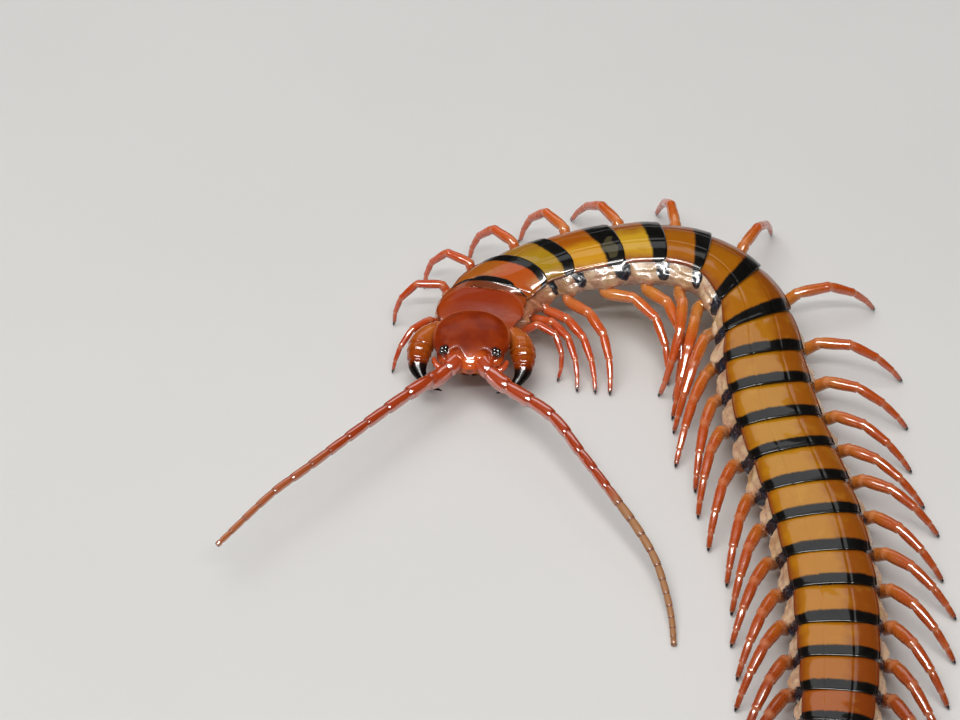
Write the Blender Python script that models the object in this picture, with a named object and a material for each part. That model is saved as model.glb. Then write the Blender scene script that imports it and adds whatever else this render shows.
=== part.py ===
"""A red-headed centipede standing on the floor, as a life-size model. Metres, +Z up.

The head faces -Y. The trunk leaves it backwards, turns round to the animal's left in a hook
and comes forward again on the +X side. Sizes below are in millimetres, and each is scaled
once, where a mesh or a curve is made.
"""
import math
import random

import bmesh
import bpy
import numpy as np
from mathutils import Matrix, Vector

MM = 0.001
GAP = 0.25
EYE_GAP = 0.12
SEED = 21

# Head. Its pieces are placed in its own frame: x to the animal's left, y backwards, z up
HEAD_HALF = (3.4, 3.3, 1.15)
HEAD_PLACE = (0.0, 0.0, 4.8)
HEAD_PITCH = math.radians(8.0)
HEAD_YAW = math.radians(4.0)
HEAD_LEVELS = ((0.30, 1.0), (0.58, 0.90), (0.80, 0.68), (0.94, 0.36), (1.0, 0.04),
               (0.95, -0.12), (0.80, -0.30), (0.76, -0.75), (0.50, -1.0))
RIM_LEVEL = 4
LOWER_HEAD_SHIFT = -0.45
SOCKET_PLACE = (1.22, -2.55, -0.1)
SOCKET_AIM = (0.60, -0.80, 0.0)
SOCKET_RADIUS = 0.72
SOCKET_LENGTH = 1.05
PALP = ((1.7, -2.3, -0.75), (2.6, -2.75, -0.85), (3.15, -2.35, -0.75), (3.35, -1.75, -0.6))
PALP_RADII = (0.42, 0.42, 0.38, 0.28)
EYE_PLACE = (2.38, -1.95, 0.72)
OCELLUS_RADIUS = 0.26
OCELLUS_SPACING = 0.34

# Forcipular segment, under the head, and its two forcipules, in the head's frame
COXOSTERNITE = {"half_width": 2.7, "front": -2.7, "back": 2.0, "top": -1.45, "bottom": -2.75}
FORCIPULE_LINE = ((3.45, 1.35, -1.95), (4.1, 1.3, -1.7), (4.5, 0.5, -1.35), (4.6, -0.5, -1.25),
                  (4.55, -1.45, -1.35), (4.3, -2.35, -1.6), (3.75, -3.2, -1.95),
                  (3.0, -3.75, -2.3), (2.35, -3.95, -2.6))
FORCIPULE_RADII = (0.55, 1.0, 1.15, 1.1, 0.9, 0.62, 0.45, 0.3, 0.12)

# Trunk. A place along it is counted in segments from the head
SEGMENTS = 21
LONG_PLATES = (8, 10, 12, 14, 16, 18)
PLATE_LENGTH = 4.2
PLATE_SWING = 0.15
END_LENGTHS = {1: 3.5, 2: 1.25, 3: 3.3, 4: 3.4, 5: 5.1, 8: 4.6, 9: 4.6, 19: 3.9, 20: 3.8, 21: 3.4}
NECK = (0.25, 2.65, -0.5)
HEADING = ((0, 6), (0.5, 22), (1, 30), (1.5, 40), (2, 47), (2.5, 56), (3.5, 76), (4.5, 82), (5.5, 90),
           (6.5, 104), (7.5, 138), (8.5, 164), (9.5, 176), (11, 172), (12.5, 166), (14, 168),
           (17, 178), (21, 188))
# How far the plates turn less than the trunk's line does, in a bend
LAG = ((0, 0), (0.5, 10), (1, 18), (2, 26), (3, 26), (4, 22), (5, 14), (6, 14), (7, 21), (8, 26),
       (9, 21), (10, 12), (12, 0), (21, 0))
AXIS_HEIGHT = ((0, 3.9), (1, 4.1), (2, 4.4), (3, 4.9), (4, 5.5), (5, 6.1), (6, 6.3), (7, 6.0),
               (8, 5.2), (9, 4.4), (10, 4.0), (12, 3.6), (21, 3.2))
ROLL = ((0, 2), (1, 3), (2, 5), (3, 10), (5, 13), (7, 13), (9, 8), (12, 1), (21, 0))
HALF_WIDTH = ((0, 3.2), (0.3, 3.7), (1, 3.95), (2, 4.0), (3, 3.9), (5, 4.05), (8, 4.2), (15, 4.2),
              (19, 3.7), (20, 3.4), (21, 3.1))
HALF_HEIGHT = ((0, 1.5), (0.5, 1.75), (2, 1.9), (3, 2.0), (6, 2.2), (15, 2.2), (19, 1.95),
               (21, 1.7))
SEGMENTS_PER_NODE = 3
NECK_RINGS = ((0.0, 0.80, 0.40), (0.26, 0.95, 0.62))
# Half of a cross-section, back to belly, in shares of the half width and half height
SECTION = ((0.0, 1.0), (0.34, 0.975), (0.66, 0.85), (0.88, 0.60), (1.0, 0.30),
           (0.92, 0.18), (0.90, -0.30), (0.72, -0.84), (0.36, -1.0), (0.0, -1.0))
SOCKET_POINTS = (6, 7)
# Rings along one segment: its place, and the back plate's shares of width and height
PLATE_RINGS = ((0.03, 0.92, 0.86), (0.18, 0.97, 0.95), (0.70, 1.01, 1.0), (0.965, 0.98, 1.04))
SOCKET_RINGS = (1, 2)

# Legs: articles from the body out, as (length, widest radius), and how they are set.
# A sweep is in degrees towards the tail, and a reach is a share of the leg's own length
ARTICLES = ((2.75, 0.62), (2.75, 0.57), (2.6, 0.48), (1.9, 0.36), (1.2, 0.27))
TROCHANTER = ((1, 0.45), (4, 0.6), (10, 0.65), (16, 0.75), (20, 0.8))
FRONT_LEG_GAP = 0.36
CLAW_DROP = 0.45
CLAW_RADIUS = 0.13
LEG_SCALE = ((1, 0.72), (2, 0.84), (4, 0.94), (5, 1.04), (6, 1.1), (9, 1.1), (11, 1.04), (16, 1.0),
             (20, 1.06))
LEG_GIRTH = ((1, 0.62), (2, 0.70), (3, 0.76), (4, 0.84), (6, 0.90), (9, 0.92), (20, 1.02))
BEND_SHARES = (1.15, 1.0, 0.5, 0.3)
FEET = {
    "left": ((7.93, -0.39), (9.61, -1.78), (11.25, -2.0), (12.6, -2.2), (17.9, -0.8),
             (18.44, -3.06), (17.2, -2.48), (18.24, -5.5), (18.3, -7.4), (18.3, -11.8),
             (19.9, -15.07)),
    "right": ((-7.2, 0.8), (-7.2, 7.4), (-4.4, 12.6), (-0.2, 16.6), (4.6, 19.2)),
}
SWEEP = {
    "left": ((12, 58), (20, 62)),
    "right": ((6, -16), (7, -6), (8, 6), (9, 24), (11, 40), (20, 60)),
}
# How far a leg's arch leans over towards the tail, in degrees
LEAN = {
    "left": ((1, 38.7), (2, 42.8), (3, 49), (4, 42), (5, 42), (6, 38.7), (7, 19.5), (8, 8.4),
             (9, 6), (10, -4.5), (11, -6.8), (20, 5)),
    "right": ((1, 10), (20, 5)),
}
REACH = 0.83
SWEEP_JITTER = 3.0
REACH_JITTER = 0.02
ULTIMATE_ARTICLES = ((5.0, 1.10), (4.1, 0.98), (3.3, 0.80), (2.3, 0.56), (1.5, 0.42))
ULTIMATE_PLACE = (0.50, -0.1)
ULTIMATE_SPREAD = 20.0
ULTIMATE_REACH = 0.94

# Antennae: their lines from the socket to the tip, how many articles each has, and how
# long the last one is beside the first
ANTENNA = {
    "left": ((7.0, -9.4, 4.25), (9.6, -14.0, 4.0), (12.08, -18.32, 3.45), (14.27, -22.16, 2.9),
             (15.85, -25.41, 2.2), (16.72, -28.51, 1.5), (17.2, -31.3, 0.8), (17.34, -34.18, 0.26)),
    "right": ((-4.46, -5.96, 4.67), (-7.81, -9.64, 4.88), (-11.36, -13.72, 5.04),
              (-14.68, -17.61, 5.2), (-17.56, -20.57, 5.0), (-21.93, -26.37, 4.6)),
}
ANTENNA_ARTICLES = {"left": 20, "right": 14}
LAST_ARTICLE = {"left": 0.26, "right": 0.58}
ANTENNA_BASE, ANTENNA_TIP = 0.66, 0.25
JOINT_WAIST = 0.78


def clear_scene():
    for obj in list(bpy.data.objects):
        bpy.data.objects.remove(obj, do_unlink=True)


def new_collection(name):
    collection = bpy.data.collections.new(name)
    bpy.context.scene.collection.children.link(collection)
    return collection


def knot_value(knots, place):
    """The value at a place, read between its few named knots."""
    places, values = zip(*knots)
    return np.interp(place, places, values)


def paint(obj, name, colour, roughness):
    material = bpy.data.materials.get(name) or bpy.data.materials.new(name)
    material.use_nodes = True
    shader = material.node_tree.nodes["Principled BSDF"]
    shader.inputs["Base Color"].default_value = (*colour, 1.0)
    shader.inputs["Roughness"].default_value = roughness
    obj.data.materials.append(material)


def mesh_object(name, bm, collection):
    """A closed object from a bmesh in millimetres."""
    bmesh.ops.recalc_face_normals(bm, faces=bm.faces)
    bmesh.ops.scale(bm, vec=(MM, MM, MM), verts=bm.verts)
    mesh = bpy.data.meshes.new(name)
    bm.to_mesh(mesh)
    bm.free()
    obj = bpy.data.objects.new(name, mesh)
    collection.objects.link(obj)
    return obj


def loft(name, rings, collection):
    """A closed body through rings that all have the same count of points."""
    bm = bmesh.new()
    rows = [[bm.verts.new(point) for point in ring] for ring in rings]
    count = len(rows[0])
    for near, far in zip(rows, rows[1:]):
        for i in range(count):
            bm.faces.new((near[i], near[(i + 1) % count], far[(i + 1) % count], far[i]))
    bm.faces.new(rows[0])
    bm.faces.new(rows[-1])
    return mesh_object(name, bm, collection)


def tube(name, points, radii, collection, sides_level=1):
    """A round bar along points, with its own radius at each and flat ends."""
    curve = bpy.data.curves.new(name, "CURVE")
    curve.dimensions = "3D"
    curve.bevel_depth = MM
    curve.bevel_resolution = sides_level
    curve.use_fill_caps = True
    line = curve.splines.new("POLY")
    line.points.add(len(points) - 1)
    for knot, point, radius in zip(line.points, points, radii):
        knot.co = (*(Vector(point) * MM), 1.0)
        knot.radius = radius
    obj = bpy.data.objects.new(name, curve)
    collection.objects.link(obj)
    return obj


def as_mesh(obj, collection):
    """The curve as a closed mesh object that takes its place."""
    graph = bpy.context.evaluated_depsgraph_get()
    mesh = bpy.data.meshes.new_from_object(obj.evaluated_get(graph))
    bm = bmesh.new()
    bm.from_mesh(mesh)
    bmesh.ops.remove_doubles(bm, verts=bm.verts, dist=1e-7)
    bmesh.ops.recalc_face_normals(bm, faces=bm.faces)
    bm.to_mesh(mesh)
    bm.free()
    made = bpy.data.objects.new(obj.name + "_mesh", mesh)
    made.matrix_world = obj.matrix_world
    collection.objects.link(made)
    bpy.data.objects.remove(obj, do_unlink=True)
    return made


def smooth_curve(points, shares):
    """Points at shares of the length of a Catmull-Rom curve through a few given ones."""
    pts = [Vector(p) for p in points]
    pts = [pts[0] * 2 - pts[1], *pts, pts[-1] * 2 - pts[-2]]
    fine = []
    for a, b, c, d in zip(pts, pts[1:], pts[2:], pts[3:]):
        for t in np.linspace(0, 1, 24, endpoint=False):
            fine.append(0.5 * (2 * b + (c - a) * t + (2 * a - 5 * b + 4 * c - d) * t ** 2
                               + (3 * b - a - 3 * c + d) * t ** 3))
    fine.append(pts[-2])
    run = np.concatenate(([0], np.cumsum([(q - p).length for p, q in zip(fine, fine[1:])])))
    wanted = np.array(shares) * run[-1]
    axes = np.array(fine).T
    return [Vector(p) for p in np.array([np.interp(wanted, run, axis) for axis in axes]).T]


def head_frame():
    turn = Matrix.Rotation(-HEAD_YAW, 4, "Z") @ Matrix.Rotation(HEAD_PITCH, 4, "X")
    return Matrix.Translation(HEAD_PLACE) @ turn


def on_head(point):
    return head_frame() @ Vector(point)


def plate_length(number):
    """Length of a segment's back plate: long and short ones take turns, as in life."""
    if number in END_LENGTHS:
        return END_LENGTHS[number]
    return PLATE_LENGTH + (PLATE_SWING if number in LONG_PLATES else -PLATE_SWING)


def plate_rings(number):
    """Rings of one segment. The first one slips in under the head's rear margin."""
    return NECK_RINGS + PLATE_RINGS[2:] if number == 1 else PLATE_RINGS


class Trunk:
    """The trunk's line, and a frame at any place along it, counted in segments."""

    STEPS = 40

    def __init__(self):
        places = np.linspace(0, SEGMENTS, SEGMENTS * self.STEPS + 1)
        steps = np.array([plate_length(int(p) + 1) for p in places[:-1]]) / self.STEPS
        heading = np.radians(self.eased(HEADING, places))
        height = self.eased(AXIS_HEIGHT, places)
        start = on_head(NECK)
        middle = (heading[1:] + heading[:-1]) / 2
        self.places = places
        self.x = start.x + np.concatenate(([0], np.cumsum(np.sin(middle) * steps)))
        self.y = start.y + np.concatenate(([0], np.cumsum(np.cos(middle) * steps)))
        self.z = height

    def eased(self, knots, places):
        """The knots' values, rounded off over about one segment."""
        wide = np.concatenate((np.full(self.STEPS, places[0]), places,
                               np.full(self.STEPS, places[-1])))
        window = np.hanning(self.STEPS + 1)
        values = np.convolve(knot_value(knots, wide), window / window.sum(), "same")
        return values[self.STEPS:-self.STEPS]

    def point(self, place):
        return Vector([float(np.interp(place, self.places, axis))
                       for axis in (self.x, self.y, self.z)])

    def frame(self, place):
        """Where the axis is, and which ways are left, up and back there."""
        inside = min(max(place, 0.05), SEGMENTS - 0.05)
        along = (self.point(inside + 0.05) - self.point(inside - 0.05)).normalized()
        lag = math.radians(float(knot_value(LAG, place)))
        back = Matrix.Rotation(lag, 3, "Z") @ along
        roll = math.radians(float(knot_value(ROLL, place)))
        level_left = Vector((0, 0, 1)).cross(-back).normalized()
        left = Matrix.Rotation(-roll, 3, back) @ level_left
        up = left.cross(back).normalized()
        place_point = self.point(min(max(place, 0), SEGMENTS))
        overshoot = place - min(max(place, 0), SEGMENTS)
        return place_point + back * overshoot * PLATE_LENGTH, left, up, back

    def section_point(self, place, wide, high, across, along_up, shift=0.0):
        """A point of the cross-section: shares of the half width and half height."""
        origin, left, up, back = self.frame(place)
        half_width = float(knot_value(HALF_WIDTH, place)) * wide
        half_height = float(knot_value(HALF_HEIGHT, place)) * (high if along_up > 0 else 1.0)
        return origin + left * half_width * across + up * half_height * along_up + back * shift

    def ring(self, place, wide, high, shift=0.0):
        left_half = [self.section_point(place, wide, high, a, b, shift) for a, b in SECTION]
        right_half = [self.section_point(place, wide, high, -a, b, shift)
                      for a, b in SECTION[-2:0:-1]]
        return left_half + right_half

    def socket(self, number, side):
        """Centre and outward direction of the flat where a leg meets segment number."""
        sign = 1 if side == "left" else -1
        corners = []
        for ring in SOCKET_RINGS:
            place, wide, high = plate_rings(number)[ring]
            for which in SOCKET_POINTS:
                across, along_up = SECTION[which]
                corners.append(self.section_point(number - 1 + place, wide, high, sign * across,
                                                  along_up))
        centre = sum(corners, Vector()) / len(corners)
        normal = (corners[1] - corners[0]).cross(corners[2] - corners[0]).normalized()
        _, left, _, _ = self.frame(number - 0.5)
        return centre, normal if normal.dot(left * sign) > 0 else -normal


def superellipse(angle, power=2.3):
    c, s = math.cos(angle), math.sin(angle)
    return (math.copysign(abs(c) ** (2 / power), c), math.copysign(abs(s) ** (2 / power), s))


def head_ring(level, count=28):
    """One level of the head: the shield's outline, drawn in and pushed forward below its rim."""
    share, height = HEAD_LEVELS[level]
    half_width, half_length, half_height = HEAD_HALF
    ring = []
    for i in range(count):
        x, y = superellipse(2 * math.pi * i / count)
        narrow = 1 - 0.13 * max(0.0, -y) ** 2
        below = level > RIM_LEVEL
        shift = LOWER_HEAD_SHIFT if below else 0.0
        drop = -0.22 * max(0.0, -y * share) ** 3
        ring.append(on_head((x * share * half_width * narrow, y * share * half_length + shift,
                             height * half_height + drop)))
    return ring


def join(target, pieces):
    """Fuses closed pieces into the target in one Boolean union."""
    extra = new_collection("pieces")
    for piece in pieces:
        for owner in list(piece.users_collection):
            owner.objects.unlink(piece)
        extra.objects.link(piece)
    modifier = target.modifiers.new("join", "BOOLEAN")
    modifier.operation = "UNION"
    modifier.operand_type = "COLLECTION"
    modifier.collection = extra
    modifier.solver = "EXACT"
    apply_modifiers(target)
    for piece in pieces:
        bpy.data.objects.remove(piece, do_unlink=True)
    bpy.data.collections.remove(extra)


def cut(target, cutter):
    modifier = target.modifiers.new("cut", "BOOLEAN")
    modifier.operation = "DIFFERENCE"
    modifier.object = cutter
    modifier.solver = "EXACT"
    apply_modifiers(target)
    bpy.data.objects.remove(cutter, do_unlink=True)


def apply_modifiers(obj):
    graph = bpy.context.evaluated_depsgraph_get()
    graph.update()
    mesh = bpy.data.meshes.new_from_object(obj.evaluated_get(graph))
    obj.modifiers.clear()
    obj.data = mesh


def eye_beads(sign):
    """Places of the four ocelli of one eye on the head, in the head's frame."""
    x, y, z = EYE_PLACE
    half = OCELLUS_SPACING / 2
    return [(sign * (x + dx * half), y + dy * half, z - 0.45 * dx * half + 0.1 * dy * half)
            for dx, dy in ((-0.9, -1), (1, -1), (-1, 1), (0.9, 1.05))]


def ball(name, centre, radius, collection, subdivisions=2):
    bm = bmesh.new()
    bmesh.ops.create_icosphere(bm, subdivisions=subdivisions, radius=radius)
    bmesh.ops.translate(bm, vec=on_head(centre), verts=bm.verts)
    return mesh_object(name, bm, collection)


def build_eye(side, sign, collection):
    beads = [ball(f"ocellus_{i}", place, OCELLUS_RADIUS, collection)
             for i, place in enumerate(eye_beads(sign))]
    eye = beads[0]
    eye.name = f"eye_{side}"
    join(eye, beads[1:])
    return eye


def eye_socket(sign, collection):
    """The hollow that an eye sits in, a little larger than the four ocelli."""
    x, y, z = EYE_PLACE
    bm = bmesh.new()
    bmesh.ops.create_icosphere(bm, subdivisions=2, radius=1.0)
    reach = OCELLUS_SPACING / 2 + OCELLUS_RADIUS + EYE_GAP
    bmesh.ops.scale(bm, vec=(reach * 1.2, reach * 1.2, reach * 1.1), verts=bm.verts)
    bmesh.ops.translate(bm, vec=on_head((sign * x, y, z)), verts=bm.verts)
    return mesh_object("eye_socket", bm, collection)


def antenna_socket(sign):
    """Mouth of the socket that an antenna grows from, and the way that it points."""
    x, y, z = SOCKET_PLACE
    ax, ay, az = SOCKET_AIM
    aim = Vector((sign * ax, ay, az)).normalized()
    start = Vector((sign * x, y, z))
    return start, start + aim * SOCKET_LENGTH, aim


def build_head(collection):
    head = loft("head", [head_ring(i) for i in range(len(HEAD_LEVELS))], collection)
    pieces = []
    for sign in (1, -1):
        start, mouth, _ = antenna_socket(sign)
        socket = tube("socket", [on_head(start), on_head(mouth)],
                      [SOCKET_RADIUS * 1.15, SOCKET_RADIUS], collection, 3)
        palp = tube("palp", [on_head((sign * x, y, z)) for x, y, z in PALP], PALP_RADII,
                    collection)
        pieces += [as_mesh(socket, collection), as_mesh(palp, collection)]
    join(head, pieces)
    for sign in (1, -1):
        cut(head, eye_socket(sign, collection))
    return head


def coxosternite_ring(y, wide, top_share):
    """A cross-section of the plate under the head that carries the forcipules."""
    half = COXOSTERNITE["half_width"] * wide
    top, bottom = COXOSTERNITE["top"], COXOSTERNITE["bottom"]
    middle = (top + bottom) / 2
    tall = (top - bottom) / 2 * top_share
    outline = ((0.0, 1.0), (0.55, 1.0), (0.9, 0.82), (1.0, 0.45), (1.0, -0.45), (0.9, -0.82),
               (0.55, -1.0), (0.0, -1.0))
    left_half = [(half * a, y, middle + tall * b) for a, b in outline]
    right_half = [(-half * a, y, middle + tall * b) for a, b in outline[-2:0:-1]]
    return [on_head(p) for p in left_half + right_half]


def build_forcipular_plate(collection):
    front, back = COXOSTERNITE["front"], COXOSTERNITE["back"]
    stations = ((0.0, 0.42, 0.55), (0.10, 0.62, 0.80), (0.40, 0.90, 1.0), (0.65, 1.0, 1.0),
                (0.97, 1.0, 1.0), (1.0, 0.97, 0.95))
    rings = [coxosternite_ring(front + (back - front) * share, wide, tall)
             for share, wide, tall in stations]
    return loft("forcipular_plate", rings, collection)


def build_forcipule(side, sign, collection):
    x = COXOSTERNITE["half_width"] + GAP
    _, root_y, root_z = FORCIPULE_LINE[0]
    line = [(x, root_y, root_z), *FORCIPULE_LINE]
    points = [on_head((sign * px, py, pz)) for px, py, pz in line]
    return tube(f"forcipule_{side}", points, (FORCIPULE_RADII[0], *FORCIPULE_RADII),
                collection, 3)


def build_trunk_node(trunk, first, last, collection):
    """Segments first to last as one body, with each back plate raised in a step."""
    rings = []
    for number in range(first, last + 1):
        rings += [trunk.ring(number - 1 + place, wide, high)
                  for place, wide, high in plate_rings(number)]
    if first > 1:
        _, wide, high = PLATE_RINGS[0]
        rings[0] = trunk.ring(first - 1, wide, high, GAP / 2)
    if last < SEGMENTS:
        _, wide, high = PLATE_RINGS[-1]
        rings[-1] = trunk.ring(last, wide, high, -GAP / 2)
    return loft(f"trunk_{first:02d}_to_{last:02d}", rings, collection)


def chain(root, foot, lengths, reach_out, tailward=None, lean=0.0):
    """Joints of a leg from its root to above its foot, bent most at its knees.

    The links arch upwards from the line through both ends, leaning over towards the tail."""
    span = foot - root
    total = sum(lengths)
    distance = min(span.length, total * reach_out)

    def ends(curl):
        points, angle, here = [Vector((0, 0))], 0.0, Vector((0, 0))
        for length, bend in zip(lengths, (*BEND_SHARES, 0.0)):
            here = here + Vector((math.cos(angle), math.sin(angle))) * length
            points.append(here)
            angle -= curl * bend
        return points

    low, high = 0.0, math.radians(110)
    for _ in range(40):
        curl = (low + high) / 2
        if ends(curl)[-1].length > distance:
            low = curl
        else:
            high = curl
    points = ends(curl)
    along = span.normalized()
    upright = (Vector((0, 0, 1)) - along * along.z).normalized()
    aside = along.cross(upright)
    if tailward is not None and aside.dot(tailward) < 0:
        aside = -aside
    arch = upright * math.cos(lean) + aside * math.sin(lean)
    level = -math.atan2(points[-1].y, points[-1].x)
    joints = []
    for p in points:
        run = p.x * math.cos(level) - p.y * math.sin(level)
        rise = p.x * math.sin(level) + p.y * math.cos(level)
        joints.append(root + along * run + arch * rise)
    return joints


def article_stations(joints, articles, girth):
    """Points and radii that swell in each article and draw in at each joint."""
    points, radii = [], []
    for (start, end), (_, radius) in zip(zip(joints, joints[1:]), articles):
        points += [start, start.lerp(end, 0.35)]
        radii += [radius * girth * 0.86, radius * girth]
    points.append(joints[-1])
    radii.append(articles[-1][1] * girth * 0.7)
    return points, radii


def leg_line(trunk, number, side, chance):
    """Where leg number stands: its root on the body and its foot on the floor."""
    sign = 1 if side == "left" else -1
    socket, normal = trunk.socket(number, side)
    root = socket + normal * (FRONT_LEG_GAP if number < 5 else GAP)
    knee_root = root + normal * float(knot_value(TROCHANTER, number))
    scale = float(knot_value(LEG_SCALE, number))
    length = sum(article[0] for article in ARTICLES) * scale
    if number <= len(FEET[side]):
        return root, knee_root, Vector((*FEET[side][number - 1], 0)), scale
    _, left, _, back = trunk.frame(number - 0.5)
    outward = Vector((left.x, left.y, 0)).normalized() * sign
    tailward = Vector((back.x, back.y, 0)).normalized()
    sweep = math.radians(float(knot_value(SWEEP[side], number))
                         + chance.uniform(-SWEEP_JITTER, SWEEP_JITTER))
    chord = length * (REACH + chance.uniform(-REACH_JITTER, REACH_JITTER))
    reach = math.sqrt(max(chord ** 2 - (knee_root.z - CLAW_DROP) ** 2, 1.0))
    way = outward * math.cos(sweep) + tailward * math.sin(sweep)
    foot = Vector((knee_root.x, knee_root.y, 0)) + way * reach
    return root, knee_root, foot, scale


def build_leg(trunk, number, side, chance, collection):
    root, knee_root, foot, scale = leg_line(trunk, number, side, chance)
    lengths = [article[0] * scale for article in ARTICLES]
    girth = float(knot_value(LEG_GIRTH, number))
    lean = math.radians(float(knot_value(LEAN[side], number)))
    joints = chain(knee_root, foot + Vector((0, 0, CLAW_DROP)), lengths, 0.995,
                   trunk.frame(number - 0.5)[3], lean)
    points, radii = article_stations(joints, ARTICLES, girth)
    points = [root, *points, foot]
    radii = [ARTICLES[0][1] * girth * 0.9, *radii, CLAW_RADIUS]
    return tube(f"leg_{side}_{number:02d}", points, radii, collection)


def build_ultimate_leg(trunk, side, collection):
    sign = 1 if side == "left" else -1
    _, left, up, back = trunk.frame(SEGMENTS)
    across, high = ULTIMATE_PLACE
    seat = trunk.section_point(SEGMENTS, 1.0, 1.0, sign * across, high)
    root = seat + back * GAP
    first = root + back * float(knot_value(TROCHANTER, SEGMENTS))
    flat_back = Vector((back.x, back.y, 0)).normalized()
    spread = -math.radians(ULTIMATE_SPREAD) * sign
    way = Matrix.Rotation(spread, 3, "Z") @ flat_back
    lengths = [article[0] for article in ULTIMATE_ARTICLES]
    foot = Vector((first.x, first.y, 0)) + way * sum(lengths) * ULTIMATE_REACH
    joints = chain(first, foot + Vector((0, 0, CLAW_DROP)), lengths, 0.995)
    points, radii = article_stations(joints, ULTIMATE_ARTICLES, 1.0)
    return tube(f"ultimate_leg_{side}", [root, *points, foot],
                [ULTIMATE_ARTICLES[0][1] * 0.8, *radii, CLAW_RADIUS * 1.4], collection, 2)


def build_antenna(side, sign, collection):
    """Beaded articles along a smooth line from the socket's mouth."""
    _, mouth, aim = antenna_socket(sign)
    root = on_head(mouth + aim * (GAP + 0.1))
    second = on_head(mouth + aim * (GAP + 1.3))
    count = ANTENNA_ARTICLES[side]
    lengths = np.linspace(1.0, LAST_ARTICLE[side], count)
    joints = np.concatenate(([0], np.cumsum(lengths))) / lengths.sum()
    shares, radii = [], []
    for near, far in zip(joints, joints[1:]):
        radius = ANTENNA_BASE + (ANTENNA_TIP - ANTENNA_BASE) * float(near) ** 0.9
        for part, swell in ((0.0, JOINT_WAIST), (0.3, 1.0), (0.8, 1.02)):
            shares.append(near + (far - near) * part)
            radii.append(radius * swell)
    shares.append(1.0)
    radii.append(ANTENNA_TIP * JOINT_WAIST)
    line = smooth_curve([root, second, *ANTENNA[side]], shares)
    return tube(f"antenna_{side}", line, radii, collection)


def centre_on_floor(collection):
    """Moves every object so that the footprint's middle is the origin."""
    graph = bpy.context.evaluated_depsgraph_get()
    corners = []
    for obj in collection.objects:
        mesh = obj.evaluated_get(graph).to_mesh()
        corners.append(np.array([obj.matrix_world @ v.co for v in mesh.vertices]))
    every = np.concatenate(corners)
    low, high = every.min(axis=0), every.max(axis=0)
    shift = Vector((-(low[0] + high[0]) / 2, -(low[1] + high[1]) / 2, -low[2]))
    for obj in collection.objects:
        obj.location += shift
    print("footprint shift", [round(value * 1000, 3) for value in shift])
    print("size in mm", [round(float(value) * 1000, 2) for value in high - low])


def main():
    clear_scene()
    animal = new_collection("red_headed_centipede")
    chance = random.Random(SEED)
    trunk = Trunk()
    shell_red = (0.55, 0.09, 0.03)
    leg_red = (0.72, 0.17, 0.05)
    build_head(animal)
    build_forcipular_plate(animal)
    for side, sign in (("left", 1), ("right", -1)):
        build_eye(side, sign, animal)
        build_forcipule(side, sign, animal)
        build_antenna(side, sign, animal)
    for first in range(1, SEGMENTS + 1, SEGMENTS_PER_NODE):
        build_trunk_node(trunk, first, first + SEGMENTS_PER_NODE - 1, animal)
    for number in range(1, SEGMENTS):
        for side in ("left", "right"):
            build_leg(trunk, number, side, chance, animal)
    for side in ("left", "right"):
        build_ultimate_leg(trunk, side, animal)
    for obj in animal.objects:
        name = obj.name
        if name.startswith("eye"):
            paint(obj, "eye_black", (0.01, 0.008, 0.008), 0.12)
        elif name.startswith("trunk"):
            paint(obj, "plate_yellow", (0.75, 0.36, 0.04), 0.3)
        elif name.startswith(("leg", "ultimate", "antenna")):
            paint(obj, "limb_red", leg_red, 0.3)
        else:
            paint(obj, "shell_red", shell_red, 0.25)
    centre_on_floor(animal)


main()
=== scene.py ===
# %% [markdown]
# # A red-headed centipede
# This lesson dresses a finished frame: solids that say where each part of the animal is. A
# centipede is a row of flat segments. Each has a hard plate on its back, a softer flank, a plate
# on its belly and one pair of legs. The frame is loaded first, and nothing in it is ever moved.

# %% The frame
import math
import random

import bmesh
import bpy
import numpy as np
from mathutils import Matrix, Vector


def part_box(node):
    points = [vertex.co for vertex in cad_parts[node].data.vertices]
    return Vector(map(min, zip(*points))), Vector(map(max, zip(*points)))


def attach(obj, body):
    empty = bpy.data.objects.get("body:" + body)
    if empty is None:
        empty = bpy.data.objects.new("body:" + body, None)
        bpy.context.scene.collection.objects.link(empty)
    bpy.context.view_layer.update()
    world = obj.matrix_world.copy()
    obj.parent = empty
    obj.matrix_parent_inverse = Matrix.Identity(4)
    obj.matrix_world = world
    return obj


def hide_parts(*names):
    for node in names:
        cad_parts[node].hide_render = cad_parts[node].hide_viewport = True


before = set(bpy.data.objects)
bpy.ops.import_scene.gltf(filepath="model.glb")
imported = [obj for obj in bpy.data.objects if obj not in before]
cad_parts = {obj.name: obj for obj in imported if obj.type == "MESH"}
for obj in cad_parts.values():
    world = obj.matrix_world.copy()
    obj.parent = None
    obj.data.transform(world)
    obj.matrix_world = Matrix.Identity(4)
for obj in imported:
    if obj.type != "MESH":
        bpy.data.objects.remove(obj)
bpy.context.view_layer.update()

# %% [markdown]
# ## Sizes that the frame and the looks share
# The animal is laid out in millimetres, with its head at the middle. These are the frame's own
# sizes, so that a piece lands on the solid that it dresses. A place along the body is counted in
# segments: 3.5 is the middle of the fourth one.

# %% Sizes of the head
MM = 0.001
GAP = 0.25
HEAD_HALF = (3.4, 3.3, 1.15)
HEAD_PLACE = np.array((0.0, 0.0, 4.8))
HEAD_PITCH, HEAD_YAW = math.radians(8.0), math.radians(4.0)
SOCKET_PLACE, SOCKET_AIM, SOCKET_LENGTH = (1.22, -2.55, -0.1), (0.60, -0.80, 0.0), 1.05
EYE_PLACE, OCELLUS_RADIUS, OCELLUS_SPACING = (2.38, -1.95, 0.72), 0.26, 0.34
PALP = ((1.7, -2.3, -0.75), (2.6, -2.75, -0.85), (3.15, -2.35, -0.75), (3.35, -1.75, -0.6))
SIDES = (("left", 1), ("right", -1))
UP = np.array((0.0, 0.0, 1.0))

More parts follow.
